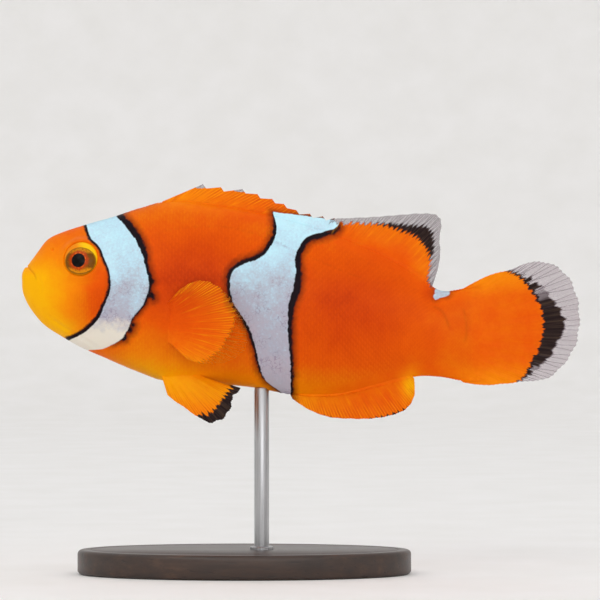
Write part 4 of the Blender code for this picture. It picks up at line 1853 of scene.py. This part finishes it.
ANAL_FIN = FinForm(
    name="anal_fin",
    roots=((-2.4, 0, -13.2), (4.5, 0, -13.6), (11.5, 0, -12.2), (17, 0, -10.2)),
    margin=(
        (-1.2, 0, -15.7), (1.4, 0, -17.4), (4.6, 0, -18.6), (8, 0, -18.9), (11.4, 0, -18.9),
        (14.6, 0, -18.4), (17.2, 0, -17.3), (18.5, 0, -15.2), (18.5, 0, -12.4),
    ),
    rays=13,
    flare=0.7,
    orange_edge=(
        (21, -12), (18.9, -15.6), (17.3, -17.1), (14.6, -18.2), (12.4, -18.8), (9, -19.3), (6, -19),
        (4.4, -18.6), (3, -18.5), (0, -18.4),
    ),
)
TAIL_FIN = FinForm(
    name="tail_fin",
    roots=((24, 0, 0.8), (25.2, 0, -2), (25.4, 0, -5), (25.2, 0, -8), (24, 0, -11)),
    margin=(
        (27.2, 0, 2.7), (30.6, 0, 4.4), (34, 0, 5.3), (37.2, 0, 6.5), (40.6, 0, 6.2), (43.3, 0, 4),
        (44.7, 0, 0.5), (45, 0, -3.2), (44.4, 0, -6.8), (42.5, 0, -10), (39.8, 0, -12.3), (36.2, 0, -12.8),
        (32.8, 0, -13.2), (29.6, 0, -13.4), (26.4, 0, -13),
    ),
    rays=15,
    reach=3.2,
    stalk=(28.2, -5, 6.5),
    orange_edge=(
        (31, 5.6), (33.2, 5), (34.6, 4.4), (35.4, 3.9), (36.6, 2.6), (37.8, 0.8), (38.8, -1.1), (39.1, -3),
        (39.1, -4.8), (38.8, -6.3), (38, -8.1), (37, -10), (36, -11.8), (34.8, -12.9), (33.4, -14.2),
    ),
    ink_edge=(
        (32, 5.6), (33.6, 5.2), (35.4, 4.7), (36.6, 4.3), (38.2, 3), (39.4, 1.9), (40.4, 0.5), (41.8, -1.2),
        (42.5, -3.7), (42.1, -5.2), (41.1, -7), (40, -8.9), (38.5, -10.3), (36.9, -11.7), (35.1, -12.9),
        (33.6, -14.4),
    ),
    columns_per_ray=12,
    rows=60,
)
PECTORAL_FIN = FinForm(
    name="pectoral_fin",
    roots=((-22.3, 5, -1.3), (-22, 5.3, -3.8), (-21.2, 4.7, -6.2)),
    margin=(
        (-19.4, 7.6, 1.8), (-17.6, 8.3, 3), (-15.4, 9.1, 3.5), (-13, 9.9, 2.6), (-10.8, 10.6, 0.6),
        (-9.2, 11.1, -2), (-8.3, 11.4, -4.8), (-8.6, 11.3, -7.4), (-10.6, 10.7, -9.2), (-13.2, 9.9, -9.9),
        (-15.8, 9.1, -9.8), (-18, 8.3, -9.1),
    ),
    rays=16,
    notch=0.02,
    arch=1.7,
    inked=False,
    flare=0.6,
    reach=1.4,
    orange_edge=(
        (-27, 2), (-21.5, 2.2), (-18.6, 2.9), (-17.2, 3.5), (-15.6, 3.9), (-14.2, 3.4), (-12.9, 2.5),
        (-11.7, 0.8), (-10.5, -1.4), (-10.6, -3.9), (-11.6, -5.6), (-12.6, -7.4), (-14.4, -8.9),
        (-16.2, -9.8), (-18.4, -10.4), (-27, -10.6),
    ),
)
PELVIC_FIN = FinForm(
    name="pelvic_fin",
    roots=((-22.6, 1, -11), (-20.2, 1.6, -11.2), (-17.4, 1.7, -11.5)),
    margin=(
        (-21.3, 3.2, -15.1), (-18.2, 3.9, -17.3), (-14.7, 4.6, -19.4), (-12.3, 4.9, -18.8),
        (-11.1, 4.9, -17), (-10.8, 4.8, -15.3), (-9.4, 4.5, -14.1),
    ),
    rays=7,
    notch=0.03,
    arch=0.5,
    flare=0.8,
    orange_edge=(
        (-8, -12.8), (-10.6, -13.5), (-11.6, -14.3), (-12.5, -15.5), (-13.3, -16.6), (-14.4, -17.8),
        (-16, -18.1), (-18.5, -18.6),
    ),
)


@dataclass
class Fin:
    """Builds a fin's web and rays from its form."""

    form: FinForm
    body: BodyForm
    markings: Markings

    def fields(self, made: Object, across: Array, out: Array) -> None:
        """Stores the fin's own fields and the fish's markings on a mesh.

        Args:
            made: The mesh object, in place.
            across: Rays counted from the front, one number for each vertex.
            out: Share along the ray.
        """
        points = fish(read_points(made.data))
        ink, clear = self.form.bands(points[:, 0], points[:, 2])
        store(made.data, ink_mm=ink, clear_mm=clear, fin_across=across, fin_out=out)
        self.markings.paint(made)

    def web(self, finish: Material) -> Object:
        """The web between the rays, as one thin closed mesh.

        Args:
            finish: The web's material.

        Returns:
            The finished piece.
        """
        form = self.form
        columns = form.rays * form.columns_per_ray + 1
        shares = (np.linspace(0, 1, columns), np.linspace(0, 1, form.rows))
        across, out = (a.ravel() for a in np.meshgrid(*shares, indexing="ij"))
        middle = form.line(across, out)
        step, even = 1e-3, replace(form, notch=0.0, teeth=0.0)
        aside = even.line(np.minimum(across + step, 1), out) - even.line(np.maximum(across - step, 0), out)
        ahead = even.line(across, out + step) - even.line(across, out - step)
        normal = unit(np.cross(aside, ahead))
        phase = across * form.rays
        wave = form.wave * np.sin(2 * np.pi * phase) * out
        half = form.thickness(self.body, middle, out) / 2
        both = [middle + normal * (wave + away)[:, None] for away in (half, -half)]
        quads, count = grid_quads(columns, form.rows), columns * form.rows
        border = self.border(columns, form.rows)
        after = np.roll(border, -1)
        sides = np.stack([border, after, after + count, border + count], -1)
        faces = [*quads.tolist(), *(quads[:, ::-1] + count).tolist(), *sides.tolist()]
        made = new_mesh(f"{form.name}_web", world(np.vstack(both)), faces, finish)
        self.fields(made, np.tile(phase, 2), np.tile(out, 2))
        return made

    @staticmethod
    def border(columns: int, rows: int) -> Array:
        """Point numbers round the edge of a grid numbered column by column.

        Args:
            columns: Columns of the grid.
            rows: Points in each column.

        Returns:
            The numbers in order.
        """
        first = np.arange(rows)
        top = np.arange(1, columns) * rows + rows - 1
        last = (columns - 1) * rows + np.arange(rows - 2, -1, -1)
        bottom = np.arange(columns - 2, 0, -1) * rows
        return np.concatenate([first, top, last, bottom])

    def rays(self, tree: NodeTree, finish: Material) -> Object:
        """The rays, as tapered tubes swept along their lines by Geometry Nodes.

        Args:
            tree: The rays' node tree.
            finish: Their material.

        Returns:
            The finished piece.
        """
        points, edges, start = [], [], 0
        fields = {"ray_thickness": [], "across": [], "out": []}
        for across, out, root, tip in self.form.ray_lines():
            points.append(self.form.line(across, out))
            edges += [(start + i, start + i + 1) for i in range(len(out) - 1)]
            start += len(out)
            shares = (np.linspace(root, tip, len(out)), across * self.form.rays, out)
            for values, share in zip(fields.values(), shares):
                values.append(share)
        fields = {name: np.concatenate(values) for name, values in fields.items()}
        given = {"Half Thickness": MM, "Sides": 6, "Finish": finish}
        made = grown(f"{self.form.name}_rays", world(np.vstack(points)), edges, fields, tree, given)
        across, out = (read_values(made.data, n)[:, 0] for n in ("across", "out"))
        self.fields(made, across, out)
        return made


def ray_tree() -> NodeTree:
    """The node tree that sweeps tapered tubes along lines.

    Returns:
        The tree.
    """
    inputs = {"Lines": "Geometry", "Half Thickness": "Float", "Sides": "Int", "Finish": "Material"}
    tree, given = new_tree("fin rays", "Geometry", inputs, {"Made": "Geometry"})
    size = tree.stored("ray_thickness", "FLOAT") * given["Half Thickness"]
    curve = tree.first("GeometryNodeMeshToCurve", {"Mesh": given["Lines"]})
    ring = tree.first("GeometryNodeCurvePrimitiveCircle", {"Resolution": given["Sides"], "Radius": 1.0})
    inputs = {"Curve": curve, "Profile Curve": ring, "Scale": size, "Fill Caps": True}
    tubes = tree.first("GeometryNodeCurveToMesh", inputs)
    solid = tree.first("GeometryNodeRealizeInstances", {"Geometry": tubes})
    return tree.finish(solid, given["Finish"])


# ---- Eyes ----
@dataclass
class Eye:
    """An eye: a flattened glossy ball whose lens bulges a little through the pupil.

    Attributes:
        place: Where it sits.
        body: The bare body.
        flank: Which side.
        pupil: Pupil radius.
        lens: How far the lens stands out.
        dip: How far the ball sinks round the pupil, over dip_width.
        gaze: How far the pupil lies aft of and above the ball's pole.
        rings: Rings of points from the pole to the back.
        sides: Points round each ring.
    """

    place: EyePlace
    body: BodyForm
    flank: Flank
    pupil: float = PUPIL
    lens: float = 0.09
    dip: float = 0.05
    dip_width: float = 0.9
    gaze: Pair = (-0.16, -0.42)
    rings: int = 56
    sides: int = 72

    def build(self, finish: Material) -> Object:
        """Builds and dresses the eye.

        Args:
            finish: The eye's material.

        Returns:
            The finished piece.
        """
        place = self.place
        outward = place.outward(self.flank)
        up = unit(np.array([0.0, 0.0, 1.0]) - outward * outward[2])
        aft = np.cross(outward, up) * self.flank.value
        turn = np.linspace(0, np.pi, self.rings)[:, None]
        way = 2 * np.pi * np.arange(self.sides) / self.sides
        high = place.radius * np.sin(turn) * np.cos(way)
        back = place.radius * np.sin(turn) * np.sin(way)
        from_pupil = np.hypot(high - self.gaze[1], back - self.gaze[0])
        lens = self.lens * np.maximum(0.0, 1 - (from_pupil / self.pupil) ** 2) ** 2
        lens -= self.dip * ramp(from_pupil, self.pupil + self.dip_width, self.pupil)
        out = place.depth * np.cos(turn) + np.where(np.cos(turn) > 0, lens, 0.0)
        spots = high[..., None] * up + back[..., None] * aft + out[..., None] * outward
        spots = place.centre(self.flank, self.body) + spots
        far = np.where(np.cos(turn) > 0, 0.0, 2 * place.radius)
        points, eye_up, eye_aft = (
            np.concatenate([grid[1:-1].reshape(-1, *grid.shape[2:]), grid[:1, 0], grid[-1:, 0]])
            for grid in (spots, high - self.gaze[1] + far, back - self.gaze[0])
        )
        faces = capped(self.rings - 2, self.sides)
        made = new_mesh(f"eyeball_{self.flank.word}", world(points), faces, finish)
        store(made.data, eye_up=eye_up, eye_aft=eye_aft)
        return made


# ---- Stand ----
@dataclass
class Stand:
    """A flat oval wooden base and a steel rod that ends in the belly.

    Attributes:
        length: The base's length.
        width: The base's width.
        thickness: The base's thickness.
        edge: Radius of the base's upper edge.
        base_x: The base's middle.
        rod_x: Where the rod stands.
        rod_radius: The rod's radius.
        rod_end: How far it runs into the belly.
        sides: Points round the base.
        rod_sides: Points round the rod.
    """

    length: float = 54.0
    width: float = 31.0
    thickness: float = 4.0
    edge: float = 0.75
    base_x: float = -9.0
    rod_x: float = -6.2
    rod_radius: float = 1.2
    rod_end: float = 0.7
    sides: int = 160
    rod_sides: int = 64

    @staticmethod
    def turned(
        name: str, profile: list[Pair], centre: float, radii: Pair, sides: int, finish: Material
    ) -> Object:
        """An oval turned piece.

        Args:
            name: The piece's name.
            profile: (inset from the full radius, height) from the bottom edge up.
            centre: Its middle's x.
            radii: Half length and half width.
            sides: Points round it.
            finish: Its material.

        Returns:
            The piece.
        """
        turn = 2 * np.pi * np.arange(sides) / sides
        rings = []
        for inset, height in profile:
            x = centre + (radii[0] - inset) * np.cos(turn)
            y = (radii[1] - inset) * np.sin(turn)
            rings.append(np.stack([x, y, np.full(sides, height)], -1))
        faces = grid_quads(len(rings), sides, closed=True).tolist()
        faces += [list(range(sides))[::-1], list(range((len(rings) - 1) * sides, len(rings) * sides))]
        return new_mesh(name, np.vstack(rings) * MM, faces, finish, sharp=40.0)

    def base(self, finish: Material) -> Object:
        """The base: a foot chamfer below, a rounded upper edge and a fine groove inside it.

        Args:
            finish: The base's material.

        Returns:
            The piece.
        """
        top, turn = self.thickness, np.linspace(0, math.pi / 2, 7)
        foot = [(0.55, 0.0), (0.15, 0.3), (0.0, 0.55)]
        edge = [(self.edge * (1 - math.cos(a)), top - self.edge + self.edge * math.sin(a)) for a in turn]
        groove = [(1.9, top - 0.02), (2.1, top - 0.16), (2.3, top - 0.02)]
        radii = (self.length / 2, self.width / 2)
        return self.turned("base", foot + edge + groove, self.base_x, radii, self.sides, finish)

    def rod(self, finish: Material, belly: float) -> Object:
        """The rod, from inside the base to a rounded end in the belly, with a small ferrule at its foot.

        Args:
            finish: The rod's material.
            belly: Height of the belly over the floor.

        Returns:
            The piece.
        """
        foot = [(0.0, -0.8), (-0.7, -0.7), (-0.7, 0.35), (-0.55, 0.5), (0.0, 0.55)]
        end = [(0.0, -0.5), (0.15, -0.2), (0.5, 0.0)]
        profile = [(inset, self.thickness + height) for inset, height in foot]
        profile += [(inset, belly + self.rod_end + height) for inset, height in end]
        radii = (self.rod_radius, self.rod_radius)
        return self.turned("rod", profile, self.rod_x, radii, self.rod_sides, finish)

    def build(self, body: BodyForm) -> None:
        """Builds both pieces, the rod under the body's belly."""
        keep(self.base(StainedWood().material()), "stand_base", "stand_base")
        belly = np.interp(self.rod_x, *np.array([(s[2], s[3]) for s in body.stations]).T) + SWIM_HEIGHT
        keep(self.rod(SatinSteel().material(), belly), "stand_rod", "stand_rod")


# ---- Studio ----
@dataclass(frozen=True)
class Lamp:
    """A soft oval light.

    Attributes:
        name: Its name.
        place: Where it stands, in metres.
        size: Its width and height.
        power: Its power in watts.
        colour: Its linear colour.
    """

    name: str
    place: tuple[float, float, float]
    size: Pair
    power: float
    colour: tuple[float, float, float]

    def shine(self, goal: Vector) -> None:
        """Adds the light, turned to a point.

        Args:
            goal: The point, in metres.
        """
        data = bpy.data.lights.new(self.name, "AREA")
        data.shape, data.size, data.size_y = "ELLIPSE", *self.size
        data.energy, data.color = self.power, self.colour
        made = linked(self.name, data)
        made.location = self.place
        made.rotation_mode = "QUATERNION"
        made.rotation_quaternion = (goal - Vector(self.place)).to_track_quat("-Z", "Y")
        made.visible_camera = False


@dataclass(frozen=True)
class Studio:
    """Pale seamless floor, soft light and a long lens level with the fish's left flank.

    Lengths are in metres.

    Attributes:
        field_width: Width of the view at the fish's middle plane.
        distance: Camera distance from that plane.
        height: Camera height.
        floor: Radius at which the floor starts to curve up.
        curve: Radius of that curve.
        wall: Height of the wall.
        sides: Points round the cove.
        lamps: A high key light and a lower, wide fill light.
        surround: Linear colour of the even light that falls into the open cove.
        strength: Its strength.
    """

    field_width: float = 0.09712
    distance: float = 0.62
    height: float = 0.04435
    floor: float = 0.8
    curve: float = 0.3
    wall: float = 1.2
    sides: int = 96
    lamps: tuple[Lamp, ...] = (
        Lamp("key", (-0.32, -0.60, 0.50), (0.40, 0.40), 0.7, (1.0, 0.98, 0.95)),
        Lamp("fill", (0.12, -0.82, 0.24), (0.80, 0.16), 0.98, (0.98, 0.99, 1.0)),
    )
    surround: tuple[float, ...] = (0.95, 0.97, 1.0, 1.0)
    strength: float = 0.97

    def camera(self) -> None:
        """Adds the camera and makes it the scene's."""
        data = bpy.data.cameras.new("camera")
        data.sensor_width = 36.0
        data.lens = data.sensor_width * self.distance / self.field_width
        data.clip_start, data.clip_end = 0.01, 10.0
        made = linked("camera", data)
        made.location = (0.0, -self.distance, self.height)
        made.rotation_euler = (math.pi / 2, 0.0, 0.0)
        bpy.context.scene.camera = made

    def cove(self) -> None:
        """Adds the floor, a round sheet of paper that curves up into a wall all round."""
        sides, curve = self.sides, self.curve
        turn = np.linspace(0, math.pi / 2, 13)
        rise = [(self.floor + curve * math.sin(a), curve - curve * math.cos(a)) for a in turn]
        path = [(0.1, 0.0), (self.floor / 2, 0.0), *rise, (self.floor + curve, self.wall)]
        way = 2 * np.pi * np.arange(sides) / sides
        rings = [np.stack([r * np.cos(way), r * np.sin(way), np.full(sides, z)], -1) for r, z in path]
        points = np.vstack([*rings, [[0.0, 0.0, 0.0]]])
        faces = grid_quads(len(path), sides, closed=True).tolist()
        faces += [[i, (i + 1) % sides, len(points) - 1] for i in range(sides)]
        new_mesh("studio_cove", points, faces, StudioPaper().material())

    def lights(self) -> None:
        """Adds the lamps and the even light."""
        for lamp in self.lamps:
            lamp.shine(Vector((0.0, 0.0, self.height)))
        sky = bpy.data.worlds.new("surround")
        sky.use_nodes = True
        shade = sky.node_tree.nodes["Background"]
        shade.inputs["Color"].default_value = self.surround
        shade.inputs["Strength"].default_value = self.strength
        bpy.context.scene.world = sky
        bpy.context.scene.view_settings.view_transform = "Standard"

    def build(self) -> None:
        """Adds the camera, the floor and the light."""
        self.camera()
        self.cove()
        self.lights()


# ---- The whole ----
@dataclass
class Clownfish:
    """The fish: skin, scales, eyes and fins.

    Attributes:
        body: The bare body.
        eye: Where the eyes sit.
        markings: The fish's markings.
        flesh: The CAD nodes that the skin stands for.
    """

    body: BodyForm = BodyForm()
    eye: EyePlace = EyePlace()
    markings: Markings = Markings()
    flesh: tuple[str, ...] = (
        "head", "lower_jaw", "gill_cover_left", "gill_cover_right", "trunk", "tail_stalk",
    )

    def build(self) -> None:
        """Builds every piece of the fish, in order."""
        colours = FishColours().group()
        skin = Skin(self.body, self.eye)
        made = skin.build(SkinFinish("skin", 0.22, 0.45).material(colours), self.markings)
        keep(made, "orange_skin", *self.flesh)

        coat = ScaleCoat(skin)
        scale_tree, scale_finish = coat.tree(), SkinFinish("scale", 0.28, 0.38).material(colours)
        for flank in Flank:
            keep(coat.build(flank, scale_tree, scale_finish, self.markings), "orange_skin")

        eye_finish = EyeFinish().material()
        for flank in Flank:
            keep(Eye(self.eye, self.body, flank).build(eye_finish), "eye", f"eye_{flank.word}")

        looks, tubes = self.fin_looks(colours), ray_tree()
        fins = [(SPINY_DORSAL, "fin"), (SOFT_DORSAL, "fin"), (ANAL_FIN, "fin"), (TAIL_FIN, "tail")]
        for flank in Flank:
            fins += [(PECTORAL_FIN.on(flank), "pectoral"), (PELVIC_FIN.on(flank), "fin")]
        for form, look in fins:
            fin = Fin(form, self.body, self.markings)
            keep(fin.web(looks[f"{look} web"]), "fin", form.name)
            keep(fin.rays(tubes, looks[f"{look} ray"]), "fin")

    @staticmethod
    def fin_looks(colours: NodeTree) -> dict[str, Material]:
        """The fins' materials: webs and rays of plain fins, of the tail fin and of the pectoral fins.

        Args:
            colours: The shared colouring.

        Returns:
            The materials, by name.
        """
        tail = {"teeth": 0.2, "breaks_from": (7.9, 1.2), "streak": 0.2, "lift": 0.0}
        tips = (255, 176, 10)
        breast = {"amber": tips, "streak": 0.5}
        finishes = (
            FinFinish("fin ray", clear_alpha=0.55, clear=(188, 178, 182), streak=0.3, lift=0.08),
            FinFinish("fin web", clear_alpha=0.34, clear=(138, 124, 130), streak=0.45, lift=0.03),
            FinFinish("tail web", clear_alpha=0.34, clear=(168, 150, 158), **tail),
            FinFinish("tail ray", clear_alpha=0.3, clear=(146, 126, 138), **tail),
            FinFinish("pectoral web", clear_alpha=0.03, clear=(238, 122, 6), lift=0.16, **breast),
            FinFinish("pectoral ray", clear_alpha=0.08, clear=tips, lift=0.4, **breast),
        )
        return {finish.name: finish.material(colours) for finish in finishes}


def main() -> None:
    """Loads the frame and builds the model and its studio."""
    logging.basicConfig(level=logging.INFO, format="%(name)s: %(message)s")
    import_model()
    model = Clownfish()
    model.build()
    Stand().build(model.body)
    Studio().build()


if __name__ == "__main__":
    main()
